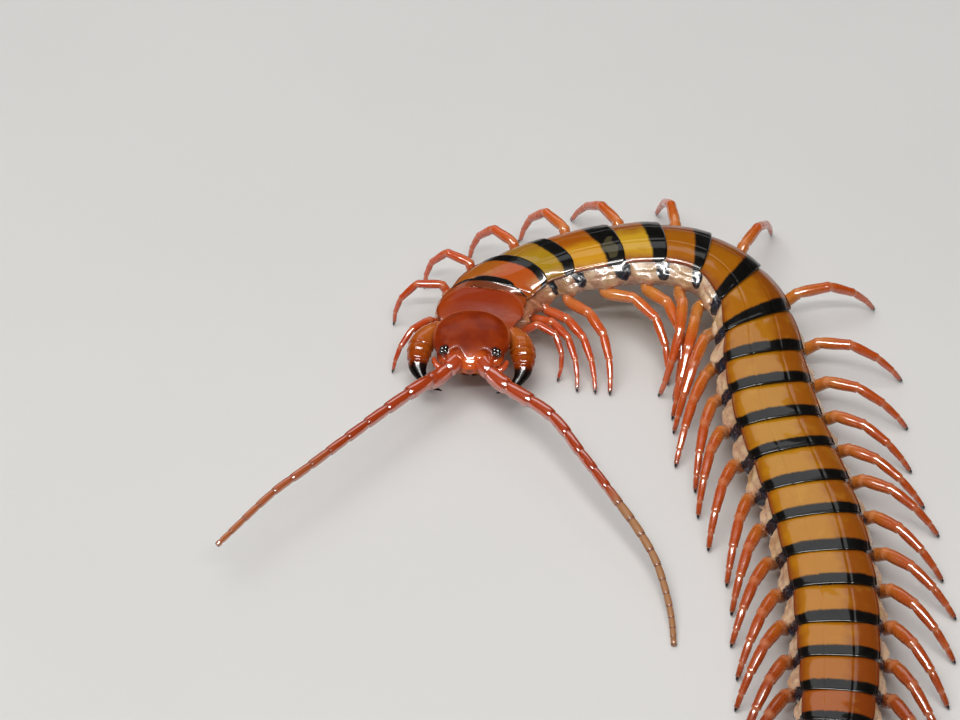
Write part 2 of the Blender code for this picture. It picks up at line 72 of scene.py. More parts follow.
# %% Sizes of the trunk
SEGMENTS, LONG_PLATES, PLATE_LENGTH, PLATE_SWING = 21, (8, 10, 12, 14, 16, 18), 4.2, 0.15
END_LENGTHS = {1: 3.5, 2: 1.25, 3: 3.3, 4: 3.4, 5: 5.1, 8: 4.6, 9: 4.6, 19: 3.9, 20: 3.8, 21: 3.4}
NECK = (0.25, 2.65, -0.5)
HEADING = ((0, 6), (0.5, 22), (1, 30), (1.5, 40), (2, 47), (2.5, 56), (3.5, 76), (4.5, 82),
           (5.5, 90), (6.5, 104), (7.5, 138), (8.5, 164), (9.5, 176), (11, 172), (12.5, 166),
           (14, 168), (17, 178), (21, 188))
LAG = ((0, 0), (0.5, 10), (1, 18), (2, 26), (3, 26), (4, 22), (5, 14), (6, 14), (7, 21), (8, 26),
       (9, 21), (10, 12), (12, 0), (21, 0))
AXIS_HEIGHT = ((0, 3.9), (1, 4.1), (2, 4.4), (3, 4.9), (4, 5.5), (5, 6.1), (6, 6.3), (7, 6.0),
               (8, 5.2), (9, 4.4), (10, 4.0), (12, 3.6), (21, 3.2))
ROLL = ((0, 2), (1, 3), (2, 5), (3, 10), (5, 13), (7, 13), (9, 8), (12, 1), (21, 0))
HALF_WIDTH = ((0, 3.2), (0.3, 3.7), (1, 3.95), (2, 4.0), (3, 3.9), (5, 4.05), (8, 4.2),
              (15, 4.2), (19, 3.7), (20, 3.4), (21, 3.1))
HALF_HEIGHT = ((0, 1.5), (0.5, 1.75), (2, 1.9), (3, 2.0), (6, 2.2), (15, 2.2), (19, 1.95),
               (21, 1.7))
SOCKET_CORNERS = ((0.18, 0.97, 0.90, -0.30), (0.18, 0.97, 0.72, -0.84),
                  (0.70, 1.01, 0.90, -0.30), (0.70, 1.01, 0.72, -0.84))

# %% Sizes of the legs and feelers
ARTICLES = ((2.75, 0.62), (2.75, 0.57), (2.6, 0.48), (1.9, 0.36), (1.2, 0.27))
TROCHANTER = ((1, 0.45), (4, 0.6), (10, 0.65), (16, 0.75), (20, 0.8))
FRONT_LEG_GAP, CLAW_DROP = 0.36, 0.45
LEG_SCALE = ((1, 0.72), (2, 0.84), (4, 0.94), (5, 1.04), (6, 1.1), (9, 1.1), (11, 1.04), (16, 1.0),
             (20, 1.06))
LEG_GIRTH = ((1, 0.62), (2, 0.70), (3, 0.76), (4, 0.84), (6, 0.90), (9, 0.92), (20, 1.02))
BEND_SHARES, STRAIGHTEST = (1.15, 1.0, 0.5, 0.3), 0.995
FEET = {
    "left": ((7.93, -0.39), (9.61, -1.78), (11.25, -2.0), (12.6, -2.2), (17.9, -0.8),
             (18.44, -3.06), (17.2, -2.48), (18.24, -5.5), (18.3, -7.4), (18.3, -11.8),
             (19.9, -15.07)),
    "right": ((-7.2, 0.8), (-7.2, 7.4), (-4.4, 12.6), (-0.2, 16.6), (4.6, 19.2)),
}
SWEEP = {"left": ((12, 58), (20, 62)),
         "right": ((6, -16), (7, -6), (8, 6), (9, 24), (11, 40), (20, 60))}
LEAN = {"left": ((1, 38.7), (2, 42.8), (3, 49), (4, 42), (5, 42), (6, 38.7), (7, 19.5), (8, 8.4),
                 (9, 6), (10, -4.5), (11, -6.8), (20, 5)),
        "right": ((1, 10), (20, 5))}
REACH, SWEEP_JITTER, REACH_JITTER = 0.83, 3.0, 0.02
ULTIMATE_ARTICLES = ((5.0, 1.10), (4.1, 0.98), (3.3, 0.80), (2.3, 0.56), (1.5, 0.42))
ULTIMATE_PLACE, ULTIMATE_SPREAD, ULTIMATE_REACH = (0.50, -0.1), 20.0, 0.94
ANTENNA = {
    "left": ((7.0, -9.4, 4.25), (9.6, -14.0, 4.0), (12.08, -18.32, 3.45), (14.27, -22.16, 2.9),
             (15.85, -25.41, 2.2), (16.72, -28.51, 1.5), (17.2, -31.3, 0.8),
             (17.34, -34.18, 0.26)),
    "right": ((-4.46, -5.96, 4.67), (-7.81, -9.64, 4.88), (-11.36, -13.72, 5.04),
              (-14.68, -17.61, 5.2), (-17.56, -20.57, 5.0), (-21.93, -26.37, 4.6)),
}
ANTENNA_ARTICLES, LAST_ARTICLE = {"left": 20, "right": 14}, {"left": 0.26, "right": 0.58}
ANTENNA_BASE, ANTENNA_TIP = 0.66, 0.25

# %% [markdown]
# ## Small helpers for lines and tables
# A bent body is easiest to describe with short tables, read between their rows, and with smooth
# lines drawn through a few points. Both are plain arithmetic on arrays, which is far quicker
# here than moving single points about.

# %% Tables and lines
def knot_value(knots, place):
    """The value at a place, read between the rows of a table."""
    return np.interp(place, *zip(*knots))


def run_of(line):
    """How far along a line each of its points lies."""
    return np.concatenate(([0], np.cumsum(np.linalg.norm(np.diff(line, axis=0), axis=1))))


def read_line(line, run, wanted):
    """Points of a line at the distances wanted."""
    return np.stack([np.interp(wanted, run, axis) for axis in line.T], axis=-1)


def smooth_line(points, shares):
    """Points at shares of the length of a smooth line through a few given ones."""
    pts = np.asarray(points, dtype=float)
    pts = np.vstack((2 * pts[0] - pts[1], pts, 2 * pts[-1] - pts[-2]))
    t = np.linspace(0, 1, 24, endpoint=False)[:, None]
    fine = [0.5 * (2 * b + (c - a) * t + (2 * a - 5 * b + 4 * c - d) * t ** 2
                   + (3 * b - a - 3 * c + d) * t ** 3)
            for a, b, c, d in zip(pts, pts[1:], pts[2:], pts[3:])]
    fine = np.vstack((*fine, pts[-2]))
    run = run_of(fine)
    return read_line(fine, run, np.asarray(shares, dtype=float) * run[-1])


def soft_table(knots, places):
    """A table read as a smooth line through its rows instead of a broken one."""
    line = smooth_line(knots, np.linspace(0, 1, 400))
    return np.interp(places, line[:, 0], line[:, 1])


def unit(vectors):
    return vectors / np.linalg.norm(vectors, axis=-1, keepdims=True)


def circle(count):
    return np.linspace(0, 2 * math.pi, count, endpoint=False)


def on_side(points, sign):
    """Points given for the left, or mirrored to the right."""
    return np.asarray(points, dtype=float) * (sign, 1, 1)


def blend(low, high, value):
    """0 below low, 1 above high, and a soft S between them."""
    t = np.clip((value - low) / (high - low), 0, 1)
    return t * t * (3 - 2 * t)


def bell(value, middle, width):
    """1 at the middle, falling off softly on both sides."""
    return np.exp(-((value - middle) / width) ** 2)


def lumps(points, size, seed, waves=14):
    """Soft seeded unevenness between about -1 and 1, with lumps of the size given."""
    rng = np.random.default_rng(seed)
    ways = unit(rng.normal(size=(waves, 3))) * (math.pi / size) * rng.uniform(0.6, 1.5, (waves, 1))
    turns = points @ ways.T + rng.uniform(0, 2 * math.pi, waves)
    return np.sin(turns).sum(axis=-1) / math.sqrt(waves)


# %% [markdown]
# ## The head's frame and the trunk's line
# The head is tipped and turned a little, so its pieces are shaped straight and then placed. The
# trunk follows a curve that is drawn from its compass heading at each segment. In the hook the
# plates turn less than the line does, as overlapping plates on a real one slide over each other.

# %% Where things are
def on_head(points):
    """From the head's own directions (left, back, up) to the animal's."""
    cp, sp = math.cos(HEAD_PITCH), math.sin(HEAD_PITCH)
    cy, sy = math.cos(-HEAD_YAW), math.sin(-HEAD_YAW)
    tip = np.array(((1, 0, 0), (0, cp, -sp), (0, sp, cp)))
    turn = np.array(((cy, -sy, 0), (sy, cy, 0), (0, 0, 1)))
    return np.asarray(points, dtype=float) @ (turn @ tip).T + HEAD_PLACE


STEPS = 40


def eased(knots, places):
    """A table's values, rounded off over about one segment."""
    wide = np.concatenate((np.full(STEPS, places[0]), places, np.full(STEPS, places[-1])))
    window = np.hanning(STEPS + 1)
    return np.convolve(knot_value(knots, wide), window / window.sum(), "same")[STEPS:-STEPS]


def plate_length(number):
    swing = PLATE_SWING if number in LONG_PLATES else -PLATE_SWING
    return END_LENGTHS.get(number, PLATE_LENGTH + swing)


PLACES = np.linspace(0, SEGMENTS, SEGMENTS * STEPS + 1)
step_lengths = np.array([plate_length(int(p) + 1) for p in PLACES[:-1]]) / STEPS
RUN = np.concatenate(([0], np.cumsum(step_lengths)))
bearing = np.radians(eased(HEADING, PLACES))
middles = (bearing[1:] + bearing[:-1]) / 2
neck = on_head(NECK)
LINE = np.stack((neck[0] + np.concatenate(([0], np.cumsum(np.sin(middles) * step_lengths))),
                 neck[1] + np.concatenate(([0], np.cumsum(np.cos(middles) * step_lengths))),
                 eased(AXIS_HEIGHT, PLACES)), axis=-1)


def line_point(place):
    return read_line(LINE, PLACES, place)


def trunk_frame(place):
    """Axis points at places along the trunk, and which ways are left, up and back there."""
    place = np.asarray(place, dtype=float)
    inside = np.clip(place, 0.05, SEGMENTS - 0.05)
    along = unit(line_point(inside + 0.05) - line_point(inside - 0.05))
    lag = np.radians(knot_value(LAG, place))
    back = np.stack((along[..., 0] * np.cos(lag) - along[..., 1] * np.sin(lag),
                     along[..., 0] * np.sin(lag) + along[..., 1] * np.cos(lag), along[..., 2]), -1)
    level = unit(np.cross(UP, -back))
    roll = np.radians(knot_value(ROLL, place))[..., None]
    left = level * np.cos(roll) - np.cross(back, level) * np.sin(roll)
    up = unit(np.cross(left, back))
    within = np.clip(place, 0, SEGMENTS)
    return line_point(within) + back * (place - within)[..., None] * PLATE_LENGTH, left, up, back


def on_trunk(place, across, above, wide=1.0, high=1.0):
    """A point of the cross-section, in shares of its half width and half height."""
    origin, left, up, _ = trunk_frame(place)
    half_width = knot_value(HALF_WIDTH, place) * wide
    half_height = knot_value(HALF_HEIGHT, place) * np.where(np.asarray(above) > 0, high, 1.0)
    return origin + left * (half_width * across)[..., None] + up * (half_height * above)[..., None]


def place_of(run):
    """The place in segments for a distance from the neck in millimetres."""
    return np.interp(run, RUN, PLACES) + (run - np.clip(run, 0, RUN[-1])) / PLATE_LENGTH


# %% [markdown]
# ## From the animal's middle to the frame's
# The frame has its footprint's middle at the origin. One small part that is the same in both
# tells how far apart the two are: the box round the four small eyes on the left side.

# %% The shift
def eye_beads(sign):
    """Places of one eye's four ocelli, in the head's directions."""
    x, y, z = EYE_PLACE
    half = OCELLUS_SPACING / 2
    return np.array([
        (sign * (x + dx * half), y + dy * half, z - 0.45 * dx * half + 0.1 * dy * half)
        for dx, dy in ((-0.9, -1), (1, -1), (-1, 1), (0.9, 1.05))])


beads = on_head(eye_beads(1))
eye_box = np.array([list(corner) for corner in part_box("eye_left")])
SHIFT = eye_box.mean(axis=0) / MM - (beads.min(axis=0) + beads.max(axis=0)) / 2
print("shift in mm", np.round(SHIFT, 3))

# %% [markdown]
# ## Gathering shapes
# Almost every part of a centipede is a tube or a thin curved plate. Each is a grid of points:
# rings along a tube, or rows along a plate. A small class gathers such grids, closes them at
# their ends and makes one object of them. It also stores numbers on the points, such as how far
# along a leg a point is, so that a finish can follow the part's own shape.

# %% Objects
def add_object(name, data):
    """A new object in the scene."""
    made = bpy.data.objects.new(name, data)
    bpy.context.scene.collection.objects.link(made)
    return made


def store_mark(mesh, name, values):
    """Keeps a number for each of a mesh's points, for a finish to read."""
    layer = mesh.attributes.new(name, "FLOAT", "POINT")
    layer.data.foreach_set("value", values.astype(np.float32))


def show(name, mesh, finish, nodes=()):
    """A smooth piece that rides on the body, with its finish and the nodes it stands for."""
    mesh.materials.append(finish.material)
    mesh.polygons.foreach_set("use_smooth", [True] * len(mesh.polygons))
    piece = add_object(name, mesh)
    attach(piece, "root")
    if nodes:
        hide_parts(*nodes)
    print(name, len(mesh.polygons), "faces")
    return piece


# %% Forms
class Form:
    """Closed grids of points in millimetres, gathered into one object."""

    def __init__(self):
        self.points, self.faces, self.marks, self.count = [], [], [], 0

    def wall(self, rings):
        """Faces between rings of points, and the points' numbers."""
        rows, columns, _ = rings.shape
        index = self.count + np.arange(rows * columns).reshape(rows, columns)
        beside = np.roll(index, -1, axis=1)
        walls = np.stack((index[:-1], beside[:-1], beside[1:], index[1:]), -1)
        self.faces += walls.reshape(-1, 4).tolist()
        return index, beside

    def tube(self, rings, **marks):
        """Rings of points, joined one to the next and closed at both ends."""
        index, beside = self.wall(rings)
        for row, centre in ((0, self.count + index.size), (-1, self.count + index.size + 1)):
            for a, b in zip(index[row].tolist(), beside[row].tolist()):
                self.faces.append((b, centre, a) if row else (a, centre, b))
        self.points.append(np.vstack((rings.reshape(-1, 3), rings[[0, -1]].mean(axis=1))))
        self.store(marks, rings.shape[:2])
        return self

    def slab(self, top, under, **marks):
        """A thin plate: its top and underside as grids, closed all round."""
        rings = np.concatenate((top, under[:, ::-1]), axis=1)
        index, _ = self.wall(rings)
        columns = top.shape[1]
        for row, turned in ((index[0], True), (index[-1], False)):
            upper, lower = row[:columns], row[columns:][::-1]
            lid = np.stack((upper[:-1], upper[1:], lower[1:], lower[:-1]), -1)
            self.faces += (lid[:, ::-1] if turned else lid).tolist()
        self.points.append(rings.reshape(-1, 3))
        doubled = {name: np.concatenate((value, value[:, ::-1]), axis=1)
                   for name, value in marks.items()}
        self.store(doubled, rings.shape[:2], ends=False)
        return self

    def store(self, marks, shape, ends=True):
        kept = {}
        for name, value in marks.items():
            grid = np.broadcast_to(value, shape)
            tail = (grid[0].mean(), grid[-1].mean()) if ends else ()
            kept[name] = np.concatenate((grid.ravel(), tail))
        self.marks.append((len(self.points[-1]), kept))
        self.count += len(self.points[-1])

    def make(self, name, finish, nodes=(), slot=None):
        mesh = bpy.data.meshes.new(name)
        points = (np.vstack(self.points) + SHIFT) * MM
        mesh.from_pydata(points.tolist(), [], self.faces)
        for mark in sorted({key for _, kept in self.marks for key in kept}):
            store_mark(mesh, mark, np.concatenate(
                [kept.get(mark, np.zeros(size)) for size, kept in self.marks]))
        bm = bmesh.new()
        bm.from_mesh(mesh)
        bmesh.ops.recalc_face_normals(bm, faces=bm.faces)
        bm.to_mesh(mesh)
        bm.free()
        return show(name, mesh, finish, nodes)


def rings_round(line, radii, sides=24, flat=1.0):
    """Rings of points round a line; flat below 1 presses them along their second direction."""
    line = np.asarray(line, dtype=float)
    ways = unit(np.gradient(line, axis=0))
    side, across = np.cross(ways[0], UP), []
    for way in ways:
        side = unit(side - way * side.dot(way))
        across.append(side)
    across = np.array(across)
    above = np.cross(across, ways)
    angle = circle(sides)[:, None]
    ring = across[:, None] * np.cos(angle) + above[:, None] * np.sin(angle) * flat
    return line[:, None] + ring * np.asarray(radii, dtype=float)[:, None, None]


def ball_rings(centre, radii, rings=18, sides=32):
    """Rings of an egg-shaped ball, all but its two poles."""
    polar, angle = np.linspace(0.12, math.pi - 0.12, rings)[:, None], circle(sides)
    ball = np.stack((np.sin(polar) * np.cos(angle), np.sin(polar) * np.sin(angle),
                     np.cos(polar) * np.ones_like(angle)), -1)
    return np.array(centre) + ball * np.array(radii)


# %% [markdown]
# ## Camera
# The camera stands in front of the head and 42 degrees above the floor, about 38 centimetres
# away, with a long lens. A long lens flattens the view as a close-up photograph does.

# %% The camera
CAMERA_PLACE, CAMERA_ELEVATION = (0.75, -283.553, 257.634), 42.0
camera_data = bpy.data.cameras.new("camera")
camera_data.lens, camera_data.sensor_width = 156.75, 36.0
camera_data.clip_start, camera_data.clip_end = 0.01, 10.0
camera = add_object("camera", camera_data)
camera.location = (np.array(CAMERA_PLACE) + SHIFT) * MM
camera.rotation_euler = (math.radians(90.0 - CAMERA_ELEVATION), 0.0, 0.0)
bpy.context.scene.camera = camera
print("camera at", tuple(round(value, 4) for value in camera.location))

# %% [markdown]
# ## Shader maths as plain sums
# A finish is a small graph of nodes. Building it node by node hides the idea, so one class wraps
# a node's output and lets Python's own signs add the Math nodes: 1 - mask is then a real node
# graph. Everything else comes from one method that takes a node's type, its settings and what
# goes into its sockets.

# %% Wires
class Wire:
    """One output of a shader node. Sums on it add Math nodes."""

    def __init__(self, finish, socket):
        self.finish, self.socket = finish, socket

    def sum(self, operation, *values):
        return self.finish.node(
            "ShaderNodeMath", {"operation": operation}, dict(enumerate(values)))

    def __add__(self, other):
        return self.sum("ADD", self, other)

    def __sub__(self, other):
        return self.sum("SUBTRACT", self, other)

    def __rsub__(self, other):
        return self.sum("SUBTRACT", other, self)

    def __mul__(self, other):
        return self.sum("MULTIPLY", self, other)

    def __truediv__(self, other):
        return self.sum("DIVIDE", self, other)

    def __abs__(self):
        return self.sum("ABSOLUTE", self)

    __radd__, __rmul__ = __add__, __mul__

    def edge(self, low, high):
        """0 below low, 1 above high, soft between."""
        return self.finish.node("ShaderNodeMapRange", {"interpolation_type": "SMOOTHSTEP"},
                                {0: self, 1: low, 2: high})

    def mix(self, first, second):
        """The first colour where this is 0, and the second where it is 1."""
        return self.finish.node("ShaderNodeMix", {"data_type": "RGBA"},
                                {0: self, 6: first, 7: second}, output=2)

    def ramp(self, *stops):
        """Colours for the values from 0 to 1."""
        return self.finish.node("ShaderNodeValToRGB", {"stops": stops}, {0: self})


def tone(code):
    """A colour in hex as the linear numbers that a shader takes."""
    values = [int(code[i:i + 2], 16) / 255 for i in (1, 3, 5)]
    return (*[v / 12.92 if v <= 0.04045 else ((v + 0.055) / 1.055) ** 2.4 for v in values], 1.0)


def layered(colour, *layers):
    """Colours laid over one another, each where its own number is 1."""
    for where, over in layers:
        colour = where.mix(colour, over)
    return colour


# %% Finishes
class Finish:
    """A material and the nodes that paint it."""

    def __init__(self, name, **constants):
        self.material = bpy.data.materials.new(name)
        self.material.use_nodes = True
        self.tree = self.material.node_tree
        self.shader = self.tree.nodes["Principled BSDF"]
        for socket, value in constants.items():
            self.shader.inputs[socket.replace("_", " ")].default_value = value

    def node(self, kind, settings=None, sockets=None, output=0):
        made = self.tree.nodes.new(kind)
        for key, value in (settings or {}).items():
            if key == "stops":
                self.set_stops(made.color_ramp, value)
            else:
                setattr(made, key, value)
        for key, value in (sockets or {}).items():
            if isinstance(value, Wire):
                self.tree.links.new(value.socket, made.inputs[key])
            else:
                made.inputs[key].default_value = tone(value) if isinstance(value, str) else value
        return Wire(self, made.outputs[output])

    def set_stops(self, ramp, stops):
        while len(ramp.elements) < len(stops):
            ramp.elements.new(0.5)
        for element, (position, code) in zip(ramp.elements, stops):
            element.position = position
            element.color = tone(code)

    def marks(self, *names):
        """Numbers stored on the mesh's points."""
        return [self.node("ShaderNodeAttribute", {"attribute_name": name}, output="Fac")
                for name in names]

    def grains(self, *sizes):
        """Noises between 0 and 1, each with its grain in millimetres and its detail."""
        place = self.node("ShaderNodeTexCoord", output="Object")
        return [self.node("ShaderNodeTexNoise", None, {
            "Vector": place, "Scale": 1.0 / (size * MM), "Detail": detail})
            for size, detail in sizes]

    def paint(self, colour, roughness=None, bump=None, depth=0.02, coat=None):
        """Joins what was made to the shader. Bump depth is in millimetres."""
        normal = None if bump is None else self.node(
            "ShaderNodeBump", None, {"Distance": depth * MM, "Height": bump})
        for socket, wire in (("Base Color", colour), ("Roughness", roughness),
                             ("Coat Weight", coat), ("Normal", normal)):
            if wire is not None:
                self.tree.links.new(wire.socket, self.shader.inputs[socket])
        print("finish", self.material.name, len(self.tree.nodes), "nodes")


# Horny shell lets a little light in, so reds and yellows glow at thin places
GLOW = {"Subsurface_Radius": (1.0, 0.35, 0.12), "Subsurface_Scale": 0.0006}

# %% [markdown]
# ## Finishes of the shell
# The plates are horn: smooth, glossy and a little see-through. Their colour runs from deep red
# on the head to yellow and orange along the back, and each back plate from the third on ends in
# a black band. The colour follows numbers stored on the plates, so it bends with them. The first
# plate is satin like the head, and the wet coat on the others breaks up along their margins.

# %% Back plates
plate_finish = Finish("plate_shell", Coat_Weight=0.7, Coat_Roughness=0.06,
                      Specular_IOR_Level=0.15, Subsurface_Weight=0.03, **GLOW)
segment, along, across, band_start, grey = plate_finish.marks(
    "segment", "along", "across", "band", "grey")
cloud, fleck, drops = plate_finish.grains((1.6, 3.0), (0.35, 4.0), (1.1, 3.0))
# The second plate's brown, from 0.075 to 0.117, is partly its own tan and partly painted shade
# cast by the first plate's overhanging edge.
middle_tone = (segment / SEGMENTS).ramp(
    (0.045, "#8e2c01"), (0.070, "#8c2c02"), (0.075, "#6c3010"), (0.117, "#743612"),
    (0.125, "#b04a06"), (0.165, "#b04e06"), (0.175, "#a07c08"), (0.215, "#a88208"),
    (0.225, "#c88c0e"), (0.262, "#cc9210"), (0.270, "#cca024"), (0.310, "#c4921a"),
    (0.330, "#a66004"), (0.420, "#a66406"), (0.600, "#b57c10"), (0.900, "#b0700e"),
    (1.000, "#9c5010"))
side_tone = (segment / SEGMENTS).ramp(
    (0.045, "#9c3804"), (0.075, "#86441a"), (0.125, "#ac4204"), (0.175, "#9c7a28"),
    (0.225, "#a85402"), (0.270, "#964e06"), (0.330, "#823c04"), (0.600, "#9a560a"),
    (1.000, "#80390c"))


def from_plate(number):
    """0 on the plates before this one, 1 on it and behind."""
    return segment.edge(number - 0.6, number - 0.4)


first, after_neck = 1.0 - from_plate(2), from_plate(3)
fifth, sixth = from_plate(5) - from_plate(6), from_plate(6) - from_plate(7)
# From the third plate on, the yellow middle is moved towards the near side, further on the fifth
# plate, so the orange covers the far half: partly the plates' own yellow and orange, partly
# painted shade on the far side.
yellow_middle_and_far_shade = (abs(across - after_neck * 0.28 - fifth * 0.20) + (fifth + sixth) * 0.10
         + (cloud - 0.5) * 0.6).edge(0.28, 0.72)
ragged = along + (fleck - 0.5) * 0.05 + (cloud - 0.5) * 0.07
worn = (grey + (cloud - 0.5) * 0.9 + (fleck - 0.5) * 0.4).edge(0.35, 0.7)
shell = layered(
    yellow_middle_and_far_shade.mix(middle_tone, side_tone),
    (cloud.edge(0.54, 0.78) * after_neck * 0.25, "#c99a30"),
    (abs(across).edge(0.90, 0.97) * 0.8, "#6e2806"),
    ((1.0 - along.edge(0.02, 0.14)) * after_neck * 0.45, "#a87c44"),
    ((1.0 - along.edge(0.0, 0.045)) * (1.0 - after_neck) * 0.6, "#b8723c"),
    # Painted highlight: a pale streak along the first plate's rear lip, where a glint lies.
    (along.edge(0.955, 0.985) * first * 0.6, "#cf7c46"),
    (ragged.edge(band_start - 0.035, band_start + 0.03),
     (fleck.edge(0.45, 0.7) * 0.5).mix("#0b0a09", "#1c1a14")),
    (worn * 0.85, fleck.mix("#343020", "#5c5434")))
broken = abs(across).edge(0.91, 0.95) * drops.edge(0.36, 0.48)
plate_finish.paint(shell, roughness=0.26 + fleck * 0.14, bump=fleck * 0.6 + cloud, depth=0.03,
                   coat=(0.7 - first * 0.48) * (1.0 - broken * 0.88))

# %% Head and fangs
head_finish = Finish("head_shell", Coat_Weight=0.35, Coat_Roughness=0.05, Coat_IOR=1.42,
                     Specular_IOR_Level=0.15, Subsurface_Weight=0.03, **GLOW)
forward, rim, eye_ring, dark = head_finish.marks("forward", "rim", "eye_ring", "dark")
cloud, fleck = head_finish.grains((1.4, 4.0), (0.22, 4.0))
dome = layered(
    cloud.edge(0.35, 0.7).mix("#7a2200", "#8e3002"),
    ((forward + (cloud - 0.5) * 0.4).edge(0.45, 0.90), "#cc5410"),
    (rim * 0.7, "#c06c3c"), (eye_ring * 0.75, "#5c0e02"), (dark, "#2a0904"))
head_finish.paint(dome, roughness=0.28 + fleck * 0.16, bump=fleck + cloud, depth=0.025,
                  coat=0.18 + forward.edge(0.55, 0.8) * 0.82)

fang_finish = Finish("fang_shell", IOR=1.52, Coat_Weight=1.0, Coat_Roughness=0.06,
                     Specular_IOR_Level=0.07, Subsurface_Weight=0.12, **GLOW)
reach, knuckle = fang_finish.marks("reach", "joint")
cloud, fleck = fang_finish.grains((1.2, 3.0), (0.25, 3.0))
amber = layered(
    (reach + (cloud - 0.5) * 0.12).ramp(
        (0.0, "#b8622c"), (0.35, "#b05a20"), (0.52, "#a04a10"), (0.66, "#8e3608"),
        (0.70, "#2a0d04"), (0.73, "#0c0605"), (1.0, "#070404")),
    (cloud.edge(0.5, 0.75) * 0.4 * (1 - reach.edge(0.55, 0.65)), "#c88442"),
    (knuckle * 0.4, "#7c2c07"))
at_point = reach.edge(0.66, 0.72)
fang_finish.paint(amber, roughness=0.16 + fleck * 0.12 + at_point * 0.06,
                  bump=cloud + fleck * 0.4, depth=0.03, coat=1.0 - at_point * 0.85)

# %% Eyes and claws
eye_finish = Finish("eye_lens", IOR=1.55, Coat_Weight=1.0)
fleck, = eye_finish.grains((0.12, 2.0))
eye_finish.paint(fleck.mix("#060404", "#180b08"), roughness=0.05 + fleck * 0.06)

claw_finish = Finish("claw_horn", IOR=1.53, Coat_Weight=0.4, Coat_Roughness=0.1)
tip, = claw_finish.marks("tip")
fleck, = claw_finish.grains((0.1, 3.0))
claw_finish.paint(tip.edge(0.0, 0.5).mix("#5a1c08", "#0d0605"), roughness=0.18 + fleck * 0.15)

# %% Legs and feelers
leg_finish = Finish("leg_shell", Coat_Weight=0.7, Coat_Roughness=0.08, Coat_IOR=1.8,
                    Specular_IOR_Level=0.35, Subsurface_Weight=0.08, **GLOW)
number, reach, knuckle = leg_finish.marks("number", "reach", "joint")
cloud, fleck = leg_finish.grains((1.3, 3.0), (0.2, 4.0))
base_tone = (number / SEGMENTS).ramp(
    (0.05, "#c05020"), (0.16, "#c65822"), (0.22, "#d2823a"), (0.40, "#cc842a"),
    (0.85, "#b4681a"), (1.0, "#8a3a0e"))
far_tone = (number / SEGMENTS).ramp(
    (0.05, "#b83e0c"), (0.16, "#c94a12"), (0.24, "#cc5416"), (0.42, "#bb4c10"),
    (0.85, "#a8440e"), (1.0, "#862f08"))
limb = layered(
    (reach + (cloud - 0.5) * 0.25).edge(0.12, 0.55).mix(base_tone, far_tone),
    (cloud.edge(0.55, 0.8) * 0.25, "#dc8a50"), (knuckle * 0.35, "#d99468"),
    (reach.edge(0.9, 1.0) * 0.5, "#5e1c08"))
leg_finish.paint(limb, roughness=0.2 + fleck * 0.16, bump=fleck * 0.4 + cloud)

feeler_finish = Finish("feeler_shell", Coat_Weight=1.0, Coat_Roughness=0.13, Coat_IOR=2.7,
                       Subsurface_Weight=0.05, **GLOW)
reach, knuckle, far = feeler_finish.marks("reach", "joint", "far")
cloud, fleck = feeler_finish.grains((1.0, 3.0), (0.12, 4.0))
bead = layered(
    (reach + (cloud - 0.5) * 0.06).ramp(
        (0.0, "#c04614"), (0.2, "#ba4210"), (0.45, "#b03c0a"), (0.7, "#b44a12"), (1.0, "#b86028")),
    (far, "#a06c3c"), (knuckle * (0.35 + far * 0.45), "#641e0c"))
feeler_finish.paint(bead, roughness=0.22 + far * 0.3 + fleck * 0.14, bump=fleck + cloud * 0.6,
                    depth=0.015, coat=1.0 - far * 0.85)

# %% [markdown]
# ## Finish of the soft skin
# Between the back plates and the belly plates lies soft skin with small lumps. It is pale and
# pinkish, damp-looking, and the black bands run down over it as bluish black blots.

# %% Skin and belly
skin_finish = Finish("flank_skin", IOR=1.45, Coat_Weight=0.6, Coat_Roughness=0.07,
                     Subsurface_Weight=0.3, Subsurface_Radius=(1.0, 0.5, 0.3),
                     Subsurface_Scale=0.0008)
blot, pink, belly, pore = skin_finish.marks("blot", "pink", "belly", "pore")
cloud, fleck, ochre = skin_finish.grains((0.9, 4.0), (0.22, 4.0), (2.2, 2.0))
flesh = layered(
    cloud.edge(0.3, 0.7).mix("#b2886e", "#d6ba96"), (ochre.edge(0.5, 0.7) * 0.5, "#b08c52"),
    (fleck.edge(0.55, 0.8) * 0.4, "#8c6458"), (pink * 0.8, "#bc7048"), (belly * 0.7, "#a99058"),
    ((blot + (cloud - 0.5) * 0.8 + (fleck - 0.5) * 0.35).edge(0.36, 0.5),
     fleck.mix("#0c0e14", "#2a2c38")),
    (pore, "#1a0c08"))
skin_finish.paint(flesh, roughness=0.16 + fleck * 0.2, bump=cloud * 1.5 + fleck * 0.8, depth=0.08)

belly_finish = Finish("belly_shell", Coat_Weight=0.25, Coat_Roughness=0.15,
                      Subsurface_Weight=0.15, **GLOW)
along, = belly_finish.marks("along")
cloud, fleck = belly_finish.grains((1.5, 3.0), (0.25, 3.0))
under = layered(cloud.mix("#9c7a38", "#b8904a"), (along.edge(0.8, 1.0) * 0.4, "#5a4420"))
belly_finish.paint(under, roughness=0.28 + fleck * 0.14, bump=cloud + fleck * 0.5, depth=0.03)

# %% [markdown]
# ## Skin of the trunk
# One tube runs from the neck to the tail, so the flank has no seam. Its rings follow the trunk's
# own cross-section, swell in the middle of each segment, draw in between two segments, and rise
# round each leg's root. It lies just under the plates.

